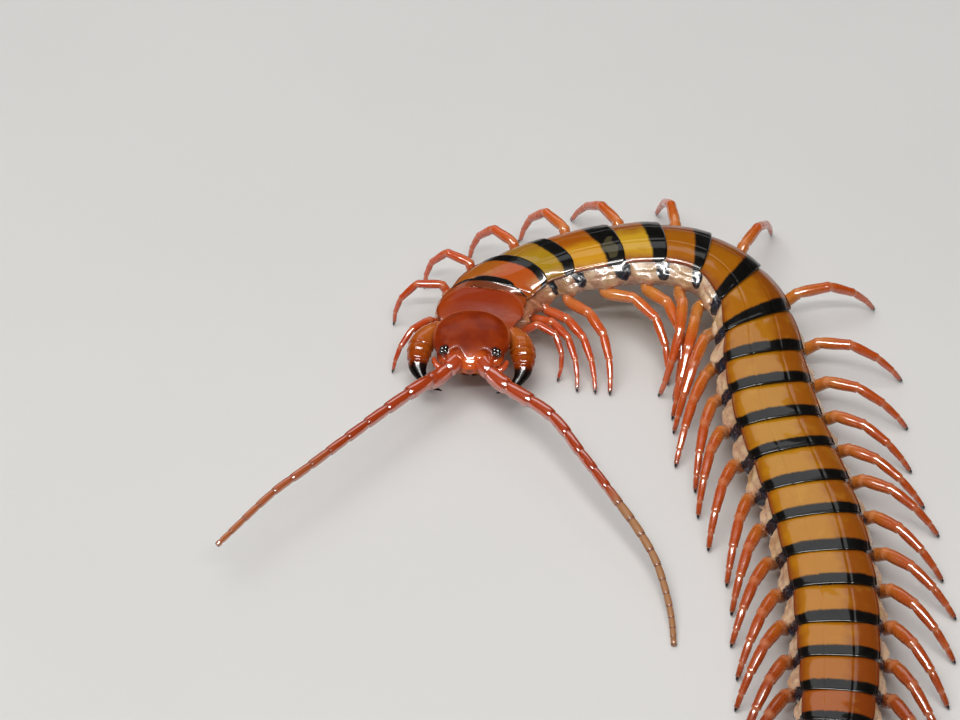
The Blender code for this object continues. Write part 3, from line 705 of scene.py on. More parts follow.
# %% The trunk's skin
OUTLINE = ((0, 0.90), (0.34, 0.87), (0.62, 0.76), (0.80, 0.60), (0.87, 0.46), (0.94, 0.28),
           (1.02, 0.08), (1.05, -0.14), (1.0, -0.38), (0.88, -0.62), (0.72, -0.82),
           (0.48, -0.94), (0.25, -0.98), (0, -0.98))
RISE_OF_NECK = ((-1, 0.40), (0.0, 0.42), (0.15, 0.55), (0.3, 0.72), (0.5, 0.90), (0.7, 1.0),
                (1.0, 1.0), (21, 1.0))
BREATHING_SEGMENTS = (3, 5, 8, 10, 12, 14, 16, 18, 20)
SKIN_COLUMNS, TAIL_ROWS, TAIL_LENGTH = 112, 10, 0.27


def skin_outline():
    """The whole cross-section, read at even steps from the top of the back."""
    full = np.vstack((OUTLINE, np.array(OUTLINE)[-2:0:-1] * (-1, 1)))
    line = smooth_line(np.vstack((full[-2:], full, full[:3])), np.linspace(0, 1, 2000))
    start = np.argmin(np.linalg.norm(line[:400] - full[0], axis=1))
    stop = 1600 + np.argmin(np.linalg.norm(line[1600:] - full[0], axis=1))
    run = run_of(line[start:stop])
    return read_line(line[start:stop], run, np.linspace(0, run[-1], SKIN_COLUMNS, endpoint=False))


def build_skin():
    place = np.concatenate((np.linspace(-0.05, SEGMENTS, 22 * SEGMENTS + 2),
                            SEGMENTS + np.linspace(0.03, 0.26, TAIL_ROWS)))
    across, above = skin_outline().T[:, None]
    outer, p = np.abs(across), place[:, None]
    part = p - np.floor(np.clip(p, 0, SEGMENTS - 0.001))
    flank = bell(above, -0.12, 0.45) * blend(0.6, 0.95, outer)
    between = bell(np.minimum(part, 1 - part), 0, 0.10) * (p > 0.3)
    tail = np.sqrt(np.clip(1 - ((p - SEGMENTS) / TAIL_LENGTH) ** 2, 0.003, 1))
    tail = np.where(p > SEGMENTS, tail, 1.0)
    wide = (1 - 0.07 * between * flank) * tail * (0.62 + 0.38 * blend(-0.1, 0.5, p))
    wide = wide * (1 + 0.10 * bell(p, 0.9, 0.7))
    points = on_trunk(np.broadcast_to(p, (len(place), SKIN_COLUMNS)), across * wide, above * tail,
                      high=knot_value(RISE_OF_NECK, p))
    _, left, up, _ = trunk_frame(place)
    out = unit(left[:, None] * across[..., None] + up[:, None] * above[..., None] * 0.6)
    fold = -0.24 * bell(above, 0.10, 0.07) * bell(part, 0.45, 0.3)
    root = bell(part, 0.44, 0.15) * bell(above, -0.56, 0.26) * (p < 20) * (outer > 0.5)
    push = flank * (0.30 * bell(part, 0.42, 0.24) + fold + 0.12 * lumps(points, 1.0, 3)
                    + 0.06 * lumps(points, 0.45, 4)) + 0.30 * root
    pores = sum(bell(p, number - 0.30, 0.045) for number in BREATHING_SEGMENTS)
    pores = pores * bell(above, -0.02, 0.11) * (outer > 0.8)
    points += out * ((push - 0.18 * pores) * tail * blend(0.0, 0.4, p))[..., None]
    band = (p + 0.14) % 1.0
    blot = bell(np.minimum(band, 1 - band), 0, 0.19) * blend(-0.55, 0.1, above) * (p > 2)
    pink = np.maximum(bell(part, 0.44, 0.24) * bell(above, -0.6, 0.35), blend(3.2, 1.6, p) * 0.9)
    Form().tube(points, blot=blot, pink=pink * (outer > 0.4), belly=blend(0.75, 0.95, -above),
                pore=blend(0.4, 0.8, pores)).make("trunk_skin", skin_finish, [
        f"trunk_{first:02d}_to_{first + 2:02d}" for first in range(1, SEGMENTS, 3)], "trunk_shell")


build_skin()

# %% [markdown]
# ## Back plates
# Twenty-one plates overlap like tiles, each one's rear edge lying over the next one's front. A
# plate is a grid bent to the back's curve, low in front and raised behind, with a thickness of
# its own. The first three are bowed, their corners reaching forward round the neck.

# %% The back plates
PLATE_OUTLINE = ((0, 1.0), (0.34, 0.975), (0.63, 0.87), (0.82, 0.69), (0.925, 0.50))
CORNERS = ((0, 0.8), (1, 2.3), (2, 2.1), (3, 1.4), (4, 0.8), (5, 0.5), (6, 0.35), (21, 0.3))
PLATE_RISE = ((0, 0.88), (0.08, 0.925), (0.25, 0.965), (0.6, 1.0), (0.9, 1.035), (1.0, 1.03))
FIRST_RISE = ((0, 0.42), (0.15, 0.55), (0.3, 0.72), (0.5, 0.90), (0.7, 1.0), (0.93, 1.04),
              (1.0, 1.035))
PLATE_WIDTH = ((0, 0.93), (0.2, 0.975), (0.7, 1.01), (1.0, 1.0))
BAND_START = ((1, 1.3), (2, 0.80), (3, 0.74), (4, 0.70), (5, 0.64), (6, 0.68), (7, 0.71),
              (21, 0.73))
NECK_WIDTH = ((1, 1.14), (2, 1.09), (3, 1.04), (4, 1.0), (21, 1.0))
OVERLAP, GREY_PLATE = 0.22, 5


def sheet(rows, columns, outline):
    """Places along and across a plate, and its outline seen from behind."""
    v = np.linspace(-1, 1, columns)[None, :]
    half = np.array(outline, dtype=float)
    whole = np.vstack(((half[::-1] * (-1, 1))[:-1], half))
    return np.linspace(0, 1, rows)[:, None], v, smooth_line(whole, (v[0] + 1) / 2)[None]


def from_edges(u, v, along, sideways):
    """0 at a plate's edges, rising to 1 a little way in."""
    return np.sqrt(np.clip(np.minimum(np.minimum(u, 1 - u) * along, (1 - v) * sideways), 0, 1))


def plate_runs(number, u, v):
    """How far from the neck each point of a plate lies, its corners reaching forward."""
    bow, corner = v ** 2.2, v ** 9
    start, end = (np.interp(place, PLACES, RUN) for place in (number - 1, number))
    front = (start - (0.35 if number > 1 else 0.2) - knot_value(CORNERS, number - 1) * bow
             + 0.35 * corner)
    rear = end + OVERLAP - knot_value(CORNERS, number) * bow - 0.45 * corner
    return front * (1 - u) + rear * u


def build_plate(number):
    u, v, outline = sheet(44, 72, PLATE_OUTLINE)
    u = u + 0.04 * np.sin(2 * math.pi * u) / math.pi
    side = np.abs(v)
    place = place_of(plate_runs(number, u, side))
    wide = soft_table(PLATE_WIDTH, u) * knot_value(NECK_WIDTH, number)
    wide = wide * (1 + 0.08 * blend(0, 1, v) * (number == 1))
    across, above = outline[..., 0] * wide, outline[..., 1] * np.ones_like(u)
    top = on_trunk(place, across, above,
                   high=soft_table(FIRST_RISE if number == 1 else PLATE_RISE, u))
    _, left, up, _ = trunk_frame(place)
    out = unit(left * (across * 0.75)[..., None] + up * (above + 0.15)[..., None])
    relief = (-0.05 * bell(side, 0.30, 0.018) * blend(0.02, 0.1, u) * (number > 3)
              - 0.06 * bell(side, 0.925, 0.018) * (number > 2)
              + 0.05 * bell(side, 0.972, 0.02) * (number > 1)
              + 0.045 * lumps(top, 2.8, 40 + number) + 0.005 * lumps(top, 0.8, 80 + number)
              + (0.10 if number == 1 else 0.035) * bell(u, 0.975, 0.03))
    top = top + out * relief[..., None]
    under = top - out * (0.05 + 0.11 * from_edges(u, side, 12, 14))[..., None]
    even = np.ones_like(place)
    band = knot_value(BAND_START, number) + (0.05 if number > 2 else 0.2) * side ** 3 * even
    grey = even * 0
    if number == GREY_PLATE:
        far = np.hypot((u - 0.79) / 0.15, (v - 0.42) / 0.40) + 0.25 * lumps(top, 0.9, 55)
        grey = blend(1.2, 0.7, far)
    Form().slab(top, under, along=u * even, across=v * even, segment=number * even, band=band,
                grey=grey).make(f"back_plate_{number:02d}", plate_finish, slot="trunk_shell")


for number in range(1, SEGMENTS + 1):
    build_plate(number)

# %% [markdown]
# ## Belly plates
# The underside has a row of flat plates too, one to a segment. They are paler, and two fine
# grooves run along each.

# %% The belly plates
BELLY_OUTLINE = ((0, 1.0), (0.26, 1.0), (0.46, 0.965), (0.60, 0.90))
u, v, outline = sheet(20, 36, BELLY_OUTLINE)
for number in range(1, SEGMENTS + 1):
    place = number - 1 + 0.04 + 0.93 * u - 0.04 * v ** 4 * (2 * u - 1)
    taper = 1 - 0.10 * u - 0.25 * (number == SEGMENTS) * u
    top = on_trunk(place, outline[..., 0] * taper, -outline[..., 1] * np.ones_like(u))
    up = trunk_frame(place)[2]
    groove = 0.05 * bell(np.abs(v), 0.5, 0.04) * blend(0.03, 0.12, u)
    proud = 0.02 + 0.10 * from_edges(u, np.abs(v), 10, 10) - groove
    Form().slab(top - up * proud[..., None], top + up * 0.08, along=u * np.ones_like(v)).make(
        f"belly_plate_{number:02d}", belly_finish, slot="trunk_shell")

# %% [markdown]
# ## Head plate
# The head's shield is one low dome. It is turned as on a lathe from a profile that goes over the
# top, round the rim and back underneath, on an outline between an ellipse and a square. Each eye
# stands on a small mound, a groove runs inside the rim at the back, and a shallower one runs
# down the middle in front.

# %% The head plate
DOME = ((0.0, 1.0), (0.16, 0.995), (0.30, 0.975), (0.45, 0.925), (0.58, 0.855), (0.70, 0.765),
        (0.80, 0.665), (0.88, 0.539), (0.94, 0.449), (0.975, 0.31), (0.995, 0.15), (1.0, 0.04),
        (0.99, -0.02), (0.965, -0.03), (0.93, 0.06), (0.80, 0.45), (0.50, 0.72), (0.25, 0.82),
        (0.0, 0.84))


def square_round(angle, power=2.15):
    """A round between a circle and, with a higher power, a square."""
    return [np.copysign(np.abs(c) ** (2 / power), c) for c in (np.cos(angle), np.sin(angle))]


def dome_points(share, height, angle):
    """Points of the head's dome, with a notch in its front edge over each feeler."""
    half_width, half_length, half_height = HEAD_HALF
    x, y = square_round(angle)
    narrow = 1.055 - 0.13 * np.maximum(0, -y) ** 2
    drop = -0.22 * np.maximum(0, -y * share) ** 3
    points = np.stack((x * share * half_width * narrow, y * share * half_length,
                       height * half_height + drop), axis=-1)
    notch = bell(np.abs(points[..., 0]), 1.32, 0.58) * blend(-1.3, -3.0, points[..., 1])
    points[..., 1] += 0.80 * notch
    return points


def forward_share(back):
    """0 behind the head's middle, 1 at its front edge."""
    return np.clip(-back / HEAD_HALF[1], 0, 1)


def build_head_plate():
    keep = smooth_line(DOME, np.linspace(0, 1, 120))[2:-2]
    share = keep[:, :1]
    points = dome_points(share, keep[:, 1:], circle(192)[None, :])
    topside = np.arange(len(keep))[:, None] < np.argmax(keep[:, 0])
    across, back = points[..., 0], points[..., 1]
    relief = (0.035 * lumps(points, 2.6, 11) + 0.004 * lumps(points, 0.6, 12)
              - 0.05 * bell(share, 0.945, 0.012) * blend(-0.5, 0.1, back)
              - 0.035 * bell(across, 0.05, 0.11) * blend(-2.2, -2.6, back))
    ring = np.zeros_like(across)
    for _, sign in SIDES:
        far = np.hypot(across - sign * EYE_PLACE[0], back - EYE_PLACE[1])
        relief += 0.20 * bell(far, 0, 0.62) - 0.10 * bell(far, 0, 0.36)
        ring += bell(far, 0.40, 0.16) + bell(far, 0, 0.35)
    rim = np.where(topside, bell(share, 0.95, 0.028), 1.0) * blend(-0.4, 0.4, back / HEAD_HALF[1])
    forward = forward_share(back)
    points[..., 2] += np.where(topside, relief, 0.0)
    Form().tube(on_head(points), forward=forward, rim=rim, eye_ring=np.clip(ring, 0, 1)).make(
        "head_plate", head_finish, ["head"], "head_shell")


build_head_plate()

# %% [markdown]
# ## Under the head plate
# Below the shield are the cheeks, the face between the feelers and the rings that the feelers
# turn in. These grow into one another without edges, so a few plain closed shapes are fused by
# remeshing them as one grid of small cells, and then smoothed.

# %% The head capsule
CAPSULE = ((0.30, 0.55), (0.62, 0.50), (0.84, 0.34), (0.93, 0.12), (0.90, -0.20), (0.80, -0.50),
           (0.74, -0.80), (0.50, -1.0))
FACE = ((0, -2.65, -0.30), (0.80, 0.85, 0.62)), ((0, -3.02, -0.66), (0.72, 0.46, 0.34))
CHEEK, SOCKET_RING = (0.85, 1.3, 0.75), (0.98, 0.97, 0.95, 0.93, 0.90, 0.88, 0.80)
CELL, SMOOTHINGS, SMOOTHING = 0.085, 6, 0.6


def fuse(name, form):
    """One closed skin round a form's shapes, as a mesh."""
    piece = form.make(name + "_parts", head_finish)
    remesh = piece.modifiers.new("fuse", "REMESH")
    remesh.mode, remesh.voxel_size = "VOXEL", CELL * MM
    smooth = piece.modifiers.new("soften", "SMOOTH")
    smooth.iterations, smooth.factor = SMOOTHINGS, SMOOTHING
    graph = bpy.context.evaluated_depsgraph_get()
    mesh = bpy.data.meshes.new_from_object(piece.evaluated_get(graph))
    mesh.materials.clear()
    bpy.data.objects.remove(piece, do_unlink=True)
    return mesh


def build_capsule():
    form = Form()
    levels = smooth_line(CAPSULE, np.linspace(0, 1, 24))
    body = dome_points(levels[:, :1], levels[:, 1:], circle(72)[None, :])
    body[..., 1] = body[..., 1] * 0.97 - 0.25
    form.tube(on_head(body))
    for centre, radii in FACE:
        form.tube(on_head(ball_rings(centre, radii)))
    for _, sign in SIDES:
        aim = unit(on_side(SOCKET_AIM, sign))
        line = on_side(SOCKET_PLACE, sign) + aim * np.linspace(-1.0, 0.05, 7)[:, None]
        form.tube(rings_round(on_head(line), SOCKET_RING))
        form.tube(on_head(ball_rings((sign * 2.25, -1.5, -0.35), CHEEK)))
    mesh = fuse("head_capsule", form)
    points = np.empty(len(mesh.vertices) * 3)
    mesh.vertices.foreach_get("co", points)
    points = points.reshape(-1, 3) / MM - SHIFT - HEAD_PLACE
    lip = bell(points[:, 1], -3.45, 0.14) * blend(-0.55, -0.75, points[:, 2])
    store_mark(mesh, "forward", forward_share(points[:, 1]))
    store_mark(mesh, "dark", lip * 0.9)
    show("head_capsule", mesh, head_finish)


build_capsule()

# %% Eyes and palps
PALP_RADII = ((0, 0.30), (0.3, 0.31), (0.36, 0.26), (0.42, 0.30), (0.7, 0.30), (0.76, 0.24),
              (0.82, 0.27), (0.95, 0.21), (1.0, 0.06))
for side, sign in SIDES:
    eye = Form()
    for bead in eye_beads(sign):
        eye.tube(on_head(ball_rings(bead, (OCELLUS_RADIUS,) * 3, 20, 28)))
    eye.make(f"eye_lenses_{side}", eye_finish, [f"eye_{side}"], "eye")
    share = np.linspace(0, 1, 28)
    line = on_head(smooth_line(on_side(PALP, sign), share))
    Form().tube(rings_round(line, knot_value(PALP_RADII, share)), number=1,
                reach=(0.1 + share * 0.3)[:, None], joint=bell(share, 0.36, 0.03)[:, None]).make(
        f"palp_{side}", leg_finish, slot="head_shell")

# %% [markdown]
# ## Fangs
# A centipede's fangs are its first legs, turned into jaws. They come from a broad plate under
# the head that carries small black teeth. Each curves round the head's side in four joints to a
# hollow black point.

# %% The fangs
FANG = ((1.9, 2.2, -1.8, 0.70), (2.6, 2.35, -1.65, 0.86), (3.35, 2.0, -1.45, 0.96),
        (4.05, 1.3, -1.3, 1.08), (4.54, 0.35, -1.2, 1.16), (4.74, -0.65, -1.25, 1.14),
        (4.80, -1.5, -1.4, 0.98), (4.74, -2.25, -1.65, 0.78), (4.36, -3.05, -1.95, 0.50),
        (3.5, -3.78, -2.3, 0.28), (2.45, -4.0, -2.6, 0.05))
FANG_JOINTS = ((3.4, 2.0, 0.10), (4.66, -0.3, 0.055), (4.76, -0.95, 0.055), (4.78, -1.75, 0.08))
BLACK_FROM, BLACK_REACH = (4.75, -2.1), 0.70


def build_fang(side, sign):
    knots, share = np.array(FANG), np.linspace(0, 1, 150)
    line = smooth_line(knots[:, :3], share)
    run = run_of(knots[:, :3])
    radii = soft_table(np.stack((run / run[-1], knots[:, 3]), -1), share)
    joint = np.zeros(len(share))
    for x, y, depth in FANG_JOINTS:
        where = share[np.hypot(line[:, 0] - x, line[:, 1] - y).argmin()]
        ridge = bell(share, where, 0.010)
        joint += ridge
        radii = radii * (1 - depth * ridge) + 0.035 * bell(share, where - 0.024, 0.014)
    rings = rings_round(on_head(on_side(line, sign)), np.maximum(radii, 0.03), 44, flat=0.92)
    rings = rings + 0.02 * lumps(rings, 1.2, 21)[..., None]
    black = share[np.hypot(*(line[:, :2] - BLACK_FROM).T).argmin()]
    reach = np.interp(share, (0, black, 1), (0.0, BLACK_REACH, 1.0))
    Form().tube(rings, reach=reach[:, None], joint=np.clip(joint, 0, 1)[:, None]).make(
        f"fang_{side}", fang_finish, [f"forcipule_{side}"], "forcipule")


for side, sign in SIDES:
    build_fang(side, sign)

# %% The plate that carries the fangs
FANG_PLATE = ((0.0, 0.42, 0.55), (0.05, 0.52, 0.70), (0.10, 0.62, 0.80), (0.40, 0.90, 1.0),
              (0.65, 1.0, 1.0), (0.97, 1.0, 1.0), (1.0, 0.97, 0.95))
FANG_PLATE_HALF, FANG_PLATE_FRONT, FANG_PLATE_LENGTH = (2.7, 0.65), -2.1, 4.1
PAD_PLACE, PAD_RADII = (0.54, -1.75, -2.42), (0.38, 0.42, 0.16)
TEETH, TOOTH_PLACE, TOOTH_STEP, TOOTH_LENGTH = 4, (0.26, -2.05, -2.42), (0.19, 0.05, 0), 0.22


def build_fang_plate():
    form, rows = Form(), np.linspace(0, 1, 40)
    share, *widths = zip(*FANG_PLATE)
    wide, tall = (np.interp(rows, share, width)[:, None] for width in widths)
    x, z = square_round(circle(64)[None, :], 3.2)
    y = (FANG_PLATE_FRONT + FANG_PLATE_LENGTH * rows)[:, None]
    cleft = 0.16 * bell(x, 0, 0.07) * blend(0.5, -0.2, (y + 2.7) / 4.7) * (z < 0)
    points = np.stack((FANG_PLATE_HALF[0] * wide * x, y * np.ones_like(x),
                       -2.1 + FANG_PLATE_HALF[1] * tall * z + cleft), -1)
    form.tube(on_head(points), reach=0.2)
    for _, sign in SIDES:
        pad = ball_rings(on_side(PAD_PLACE, sign), PAD_RADII, 12, 20)
        form.tube(on_head(pad), reach=0.71)
        for tooth in range(TEETH):
            base = on_side(np.array(TOOTH_PLACE) + np.array(TOOTH_STEP) * tooth, sign)
            line = base - np.linspace(0, TOOTH_LENGTH, 6)[:, None] * (0, 1, 0)
            form.tube(rings_round(on_head(line), np.linspace(0.11, 0.03, 6), 12), reach=0.9)
    form.make("fang_plate", fang_finish, ["forcipular_plate"], "forcipule")


build_fang_plate()

# %% [markdown]
# ## Feelers
# A feeler is a string of beads. Each bead, or article, is narrow where it leaves the last one
# and widest near its end. One table gives that swelling, and it is repeated along a smooth line.

# %% The feelers
BEAD = ((0.0, 0.87), (0.05, 0.90), (0.14, 0.95), (0.30, 0.99), (0.55, 1.0), (0.78, 1.01),
        (0.91, 0.98), (0.97, 0.91))
FEELER_TIP = ((0.985, 0.85), (0.997, 0.5), (1.0, 0.15))
MATT = {"left": 1.0, "right": 0.25}


def build_feeler(side, sign):
    aim = unit(on_side(SOCKET_AIM, sign))
    mouth = on_side(SOCKET_PLACE, sign) + aim * SOCKET_LENGTH
    start = [on_head(mouth - aim * 1.9), on_head(mouth + aim * (GAP + 1.3)), *ANTENNA[side]]
    lengths = np.linspace(1.0, LAST_ARTICLE[side], ANTENNA_ARTICLES[side])
    lengths[:2] *= (0.7, 0.85)
    joints = np.concatenate(([0], np.cumsum(lengths))) / lengths.sum()
    rows = []
    for near, far in zip(joints, joints[1:]):
        radius = ANTENNA_BASE + (ANTENNA_TIP - ANTENNA_BASE) * near ** 0.9
        radius += 0.17 * bell(near, 0, 0.16)
        rows += [(near + (far - near) * part, radius * swell, bell(min(part, 1 - part), 0, 0.07))
                 for part, swell in BEAD]
    rows += [(share, ANTENNA_TIP * swell, 0) for share, swell in FEELER_TIP]
    rows = np.array(sorted(rows, key=lambda row: row[0]))
    shares, kept = np.unique(np.round(rows[:, 0], 6), return_index=True)
    rings = rings_round(smooth_line(start, shares), rows[kept, 1], 28)
    matt = blend(0.52, 0.62, shares) * MATT[side]
    Form().tube(rings, reach=shares[:, None], joint=rows[kept, 2:], far=matt[:, None]).make(
        f"feeler_{side}", feeler_finish, [f"antenna_{side}"], "antenna")


for side, sign in SIDES:
    build_feeler(side, sign)

# %% [markdown]
# ## Legs
# Every walking leg has the same joints in the same order: a short ring at the body, three long
# articles, two short ones and a claw. One function bends them over from the root to the foot, as
# a carpenter's rule is folded, and another swells the skin of each article.

# %% How a leg stands
def leg_socket(number, sign):
    """Where a leg meets its segment, and the way that it leaves it."""
    corners = np.array([on_trunk(np.array(number - 1 + place), sign * across, above, wide)
                        for place, wide, across, above in SOCKET_CORNERS])
    normal = unit(np.cross(corners[1] - corners[0], corners[2] - corners[0]))
    left = trunk_frame(number - 0.5)[1]
    return corners.mean(axis=0), normal if normal.dot(left * sign) > 0 else -normal


def fold(root, foot, lengths, tailward=None, lean=0.0):
    """Joints of a leg from its root to above its foot, bent most at its knees."""
    span = foot - root
    distance = min(np.linalg.norm(span), sum(lengths) * STRAIGHTEST)

    def ends(curl):
        turn = np.concatenate(([0], -curl * np.cumsum(BEND_SHARES)))
        steps = np.stack((np.cos(turn), np.sin(turn)), -1) * np.array(lengths)[:, None]
        return np.vstack(((0, 0), np.cumsum(steps, axis=0)))

    low, high = 0.0, math.radians(110)
    for _ in range(40):
        curl = (low + high) / 2
        if np.linalg.norm(ends(curl)[-1]) > distance:
            low = curl
        else:
            high = curl
    flat = ends(curl)
    along = unit(span)
    upright = unit(UP - along * along[2])
    aside = np.cross(along, upright)
    if tailward is not None and aside.dot(tailward) < 0:
        aside = -aside
    arch = upright * math.cos(lean) + aside * math.sin(lean)
    level = -math.atan2(flat[-1][1], flat[-1][0])
    turned = flat @ np.array(((math.cos(level), math.sin(level)),
                              (-math.sin(level), math.cos(level))))
    return root + along * turned[:, :1] + arch * turned[:, 1:]


def leg_stance(number, side, sign, chance):
    """A leg's socket and the way out of it, its root, its joints and its foot."""
    socket, normal = leg_socket(number, sign)
    root = socket + normal * (FRONT_LEG_GAP if number < 5 else GAP)
    knee_root = root + normal * knot_value(TROCHANTER, number)
    lengths = [length * float(knot_value(LEG_SCALE, number)) for length, _ in ARTICLES]
    _, left, _, back = trunk_frame(number - 0.5)
    if number <= len(FEET[side]):
        foot = np.array((*FEET[side][number - 1], 0.0))
    else:
        sweep = math.radians(knot_value(SWEEP[side], number)
                             + chance.uniform(-SWEEP_JITTER, SWEEP_JITTER))
        chord = sum(lengths) * (REACH + chance.uniform(-REACH_JITTER, REACH_JITTER))
        reach = math.sqrt(max(chord ** 2 - (knee_root[2] - CLAW_DROP) ** 2, 1.0))
        outward, tailward = unit(left * (1, 1, 0)) * sign, unit(back * (1, 1, 0))
        way = outward * math.cos(sweep) + tailward * math.sin(sweep)
        foot = knee_root * (1, 1, 0) + way * reach
    lean = math.radians(knot_value(LEAN[side], number))
    joints = fold(knee_root, foot + (0, 0, CLAW_DROP), lengths, back, lean)
    return socket, normal, root, joints, foot


# %% How a leg is rounded
SWELL = ((0.0, 0.84), (0.05, 0.89), (0.12, 0.95), (0.24, 0.99), (0.38, 1.0), (0.58, 0.98),
         (0.76, 0.94), (0.87, 0.93), (0.93, 0.97), (0.975, 0.93))


def article_rows(points, widths, starts):
    """Points, radii, reach and joint marks for articles between points, one row to a ring."""
    rows, total = [], len(widths)
    for i, (near, far, width) in enumerate(zip(points, points[1:], widths)):
        length = np.linalg.norm(far - near)
        ahead = widths[i + 1] if i + 1 < total else width * 0.75
        for part, swell in SWELL:
            girth = width * (1 - part) + (0.55 * width + 0.45 * ahead) * part
            rows.append((*(near + (far - near) * part), girth * swell,
                         (starts + i + part) / (starts + total),
                         bell(min(part, 1 - part) * length, 0, 0.16)))
    rows.append((*points[-1], widths[-1] * 0.6, 1.0, 0.6))
    return np.array(rows)


def leg_tube(stub, rows, sides, number):
    """A leg's form from its short ring at the body on, with its corners rounded off."""
    rows = np.vstack((stub, rows))
    line, (radii, reach, joint) = rows[:, :3], rows[:, 3:].T
    for _ in range(2):
        line[1:-1] = line[1:-1] * 0.5 + (line[:-2] + line[2:]) * 0.25
    return Form().tube(rings_round(line, radii, sides), number=number, reach=reach[:, None],
                       joint=joint[:, None])


def stub_rows(points, radii, reach, joint):
    return np.column_stack((points, radii, reach, joint))


def add_claw(form, start, foot, way, radius):
    """A curved point from the last article down to the floor, with a spur on each side."""
    level = unit(way * (1, 1, 0))
    tip = foot + level * 0.10 + (0, 0, 0.03)
    bow = (start + tip) / 2 + level * 0.12 + (0, 0, 0.05)
    share = np.linspace(0, 1, 12)
    line = smooth_line((start - way * 0.12, start, bow, tip), share)
    form.tube(rings_round(line, radius * (1 - share ** 1.4) + 0.025, 14), tip=share[:, None])
    for _, sign in SIDES:
        spur = start + (foot - start) * np.linspace(0.10, 0.55, 6)[:, None] + np.cross(
            way, UP) * sign * np.linspace(0.03, 0.20, 6)[:, None]
        form.tube(rings_round(spur, np.linspace(0.06, 0.015, 6), 10), tip=0.4)


# %% The legs and claws
STUB_RADII, SHORT_RADII = (1.25, 1.3, 1.15, 0.98, 0.86), (0.95, 0.93)
chance = random.Random(21)
claws = {side: Form() for side, _ in SIDES}
for number in range(1, SEGMENTS):
    for side, sign in SIDES:
        socket, normal, root, joints, foot = leg_stance(number, side, sign, chance)
        widths = [width * float(knot_value(LEG_GIRTH, number)) * 1.07 for _, width in ARTICLES]
        stub = np.vstack((socket - normal * 0.75, socket - normal * 0.35, socket,
                          root - normal * 0.05, root + normal * 0.06,
                          root + (joints[0] - root) * np.array((0.35, 0.7))[:, None]))
        stub = stub_rows(stub, np.array(STUB_RADII + SHORT_RADII) * widths[0],
                         (0, 0, 0, 0, 0, 0.1, 0.1), (0, 0, 0, 0.8, 0.9, 0.2, 0.2))
        leg_tube(stub, article_rows(joints, widths, 1), 24, number).make(
            f"leg_{side}_{number:02d}_shell", leg_finish, [f"leg_{side}_{number:02d}"], "leg")
        way = unit(joints[-1] - joints[-2])
        add_claw(claws[side], joints[-1], foot, way, widths[-1] * 0.55)

# %% [markdown]
# ## Last legs
# The last pair isn't walked on. It is longer and stouter, is held out behind like a pair of
# tongs, and its first article has small black thorns on the inner side.

# %% The last legs
LAST_STUB = (0.9, 1.15, 1.2, 1.0, 0.9)
THORNS, THORN_SPAN = ((0.35, 0.2), (0.6, -0.3), (0.8, 0.5), (0.95, 0.0)), (0.8, 1.35)
LAST_CLAW_RADIUS = 0.22


def build_last_leg(side, sign):
    back = trunk_frame(SEGMENTS)[3]
    across, high = ULTIMATE_PLACE
    seat = on_trunk(np.array(float(SEGMENTS)), sign * across, high)
    root = seat + back * GAP
    first = root + back * knot_value(TROCHANTER, SEGMENTS)
    x, y, _ = unit(back * (1, 1, 0))
    spread = -math.radians(ULTIMATE_SPREAD) * sign
    way = np.array((x * math.cos(spread) - y * math.sin(spread),
                    x * math.sin(spread) + y * math.cos(spread), 0))
    lengths, widths = zip(*ULTIMATE_ARTICLES)
    foot = first * (1, 1, 0) + way * sum(lengths) * ULTIMATE_REACH
    joints = fold(first, foot + (0, 0, CLAW_DROP), lengths)
    stub = stub_rows((seat - back * 1.6, seat - back * 0.8, seat, root, (root + first) / 2),
                     LAST_STUB, (0, 0, 0, 0, 0), (0, 0, 0, 0.8, 0.3))
    form = leg_tube(stub, article_rows(joints, widths, 0), 36, SEGMENTS)
    inward = -np.cross(unit(joints[1] - joints[0]), UP) * sign
    for share, tilt in THORNS:
        base = joints[0] + (joints[1] - joints[0]) * share
        thorn = (base + unit(inward + UP * tilt) * np.linspace(*THORN_SPAN, 6)[:, None]
                 + way * np.linspace(0, 0.2, 6)[:, None])
        claws[side].tube(rings_round(thorn, np.linspace(0.14, 0.02, 6), 12), tip=0.6)
    form.make(f"last_leg_{side}_shell", leg_finish, [f"ultimate_leg_{side}"], "ultimate_leg")
    add_claw(claws[side], joints[-1], foot, unit(joints[-1] - joints[-2]), LAST_CLAW_RADIUS)


for side, sign in SIDES:
    build_last_leg(side, sign)
    claws[side].make(f"claws_{side}", claw_finish, slot="leg")

# %% [markdown]
# ## Floor and light
# The floor is a plain pale sheet. One broad soft light hangs above but isn't seen in the gloss,
# so that the colours stay deep. A strip in front and a dim panel behind light it too and shine on
# the shell. Two narrow lights are seen in the gloss alone: they give the small wet glints.

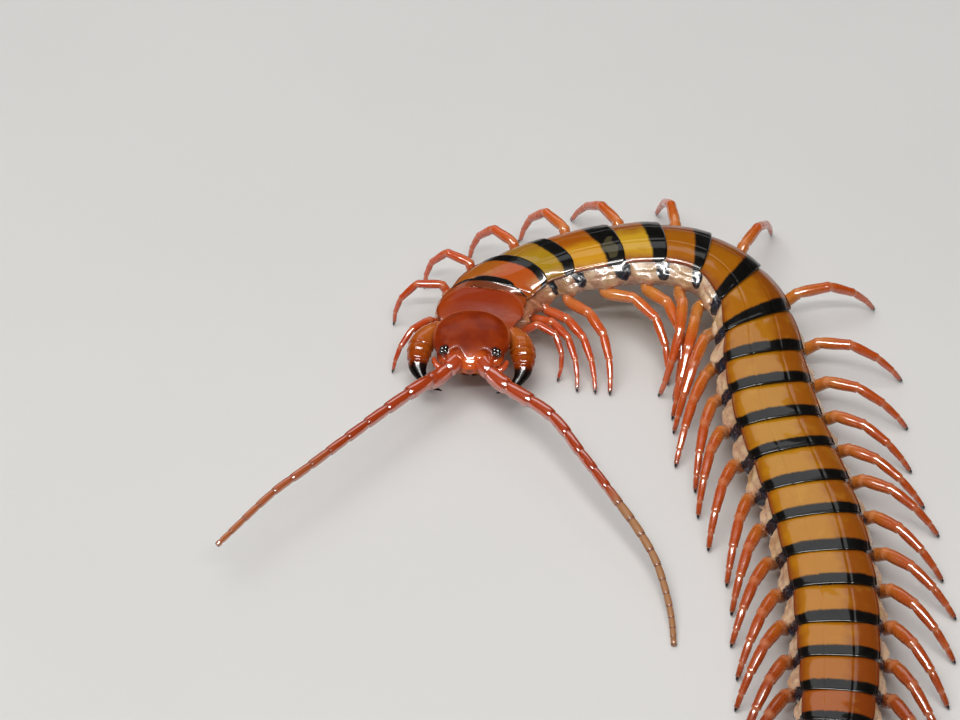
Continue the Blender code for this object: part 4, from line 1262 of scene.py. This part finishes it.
# %% The floor
HALF_FLOOR = 2.0
floor_finish = Finish("pale_floor", Roughness=0.6)
speckle, = floor_finish.grains((30.0, 2.0))
floor_finish.paint(speckle.mix("#cfcecc", "#d4d3d1"))
floor_mesh = bpy.data.meshes.new("floor")
floor_mesh.from_pydata([(x * HALF_FLOOR, y * HALF_FLOOR, 0) for x, y in
                        ((-1, -1), (1, -1), (1, 1), (-1, 1))], [], [(0, 1, 2, 3)])
floor_mesh.materials.append(floor_finish.material)
add_object("floor", floor_mesh)

# %% The lights
WARM, COOL, SKY = (1.0, 0.98, 0.96), (0.97, 0.98, 1.0), (0.9, 0.92, 0.95, 1.0)
EVERYWHERE, NOT_IN_GLOSS, ONLY_IN_GLOSS = (True, True), (False, True), (True, False)
LIGHTS = (
    ("overhead", (-0.12, -0.02, 0.45), (0.36, 0.36), 1.35, WARM, NOT_IN_GLOSS),
    ("front_strip", (0.02, -0.23, 0.42), (0.34, 0.022), 0.85, WARM, EVERYWHERE),
    ("back_panel", (-0.05, 0.34, 0.34), (0.40, 0.16), 0.24, COOL, EVERYWHERE),
    ("glint", (0.0, -0.26, 0.38), (0.30, 0.055), 3.2, WARM, ONLY_IN_GLOSS),
    ("side_glint", (-0.21, -0.17, 0.385), (0.24, 0.05), 1.5, WARM, ONLY_IN_GLOSS),
)
for name, (x, y, z), (wide, deep), power, colour, (glossy, diffuse) in LIGHTS:
    data = bpy.data.lights.new(name, "AREA")
    data.shape, data.size, data.size_y = "RECTANGLE", wide, deep
    data.energy, data.color = power, colour
    light = add_object(name, data)
    light.location = (x, y, z)
    light.rotation_euler = (math.atan2(math.hypot(x, y), z), 0.0, math.atan2(x, -y))
    light.visible_glossy, light.visible_diffuse = glossy, diffuse
    print("light", name, power, "W")
world = bpy.data.worlds.new("studio")
bpy.context.scene.world = world
world.use_nodes = True
background = world.node_tree.nodes["Background"]
background.inputs["Color"].default_value = SKY
background.inputs["Strength"].default_value = 0.22
world.cycles_visibility.glossy = False
bpy.context.scene.view_settings.view_transform = "Standard"
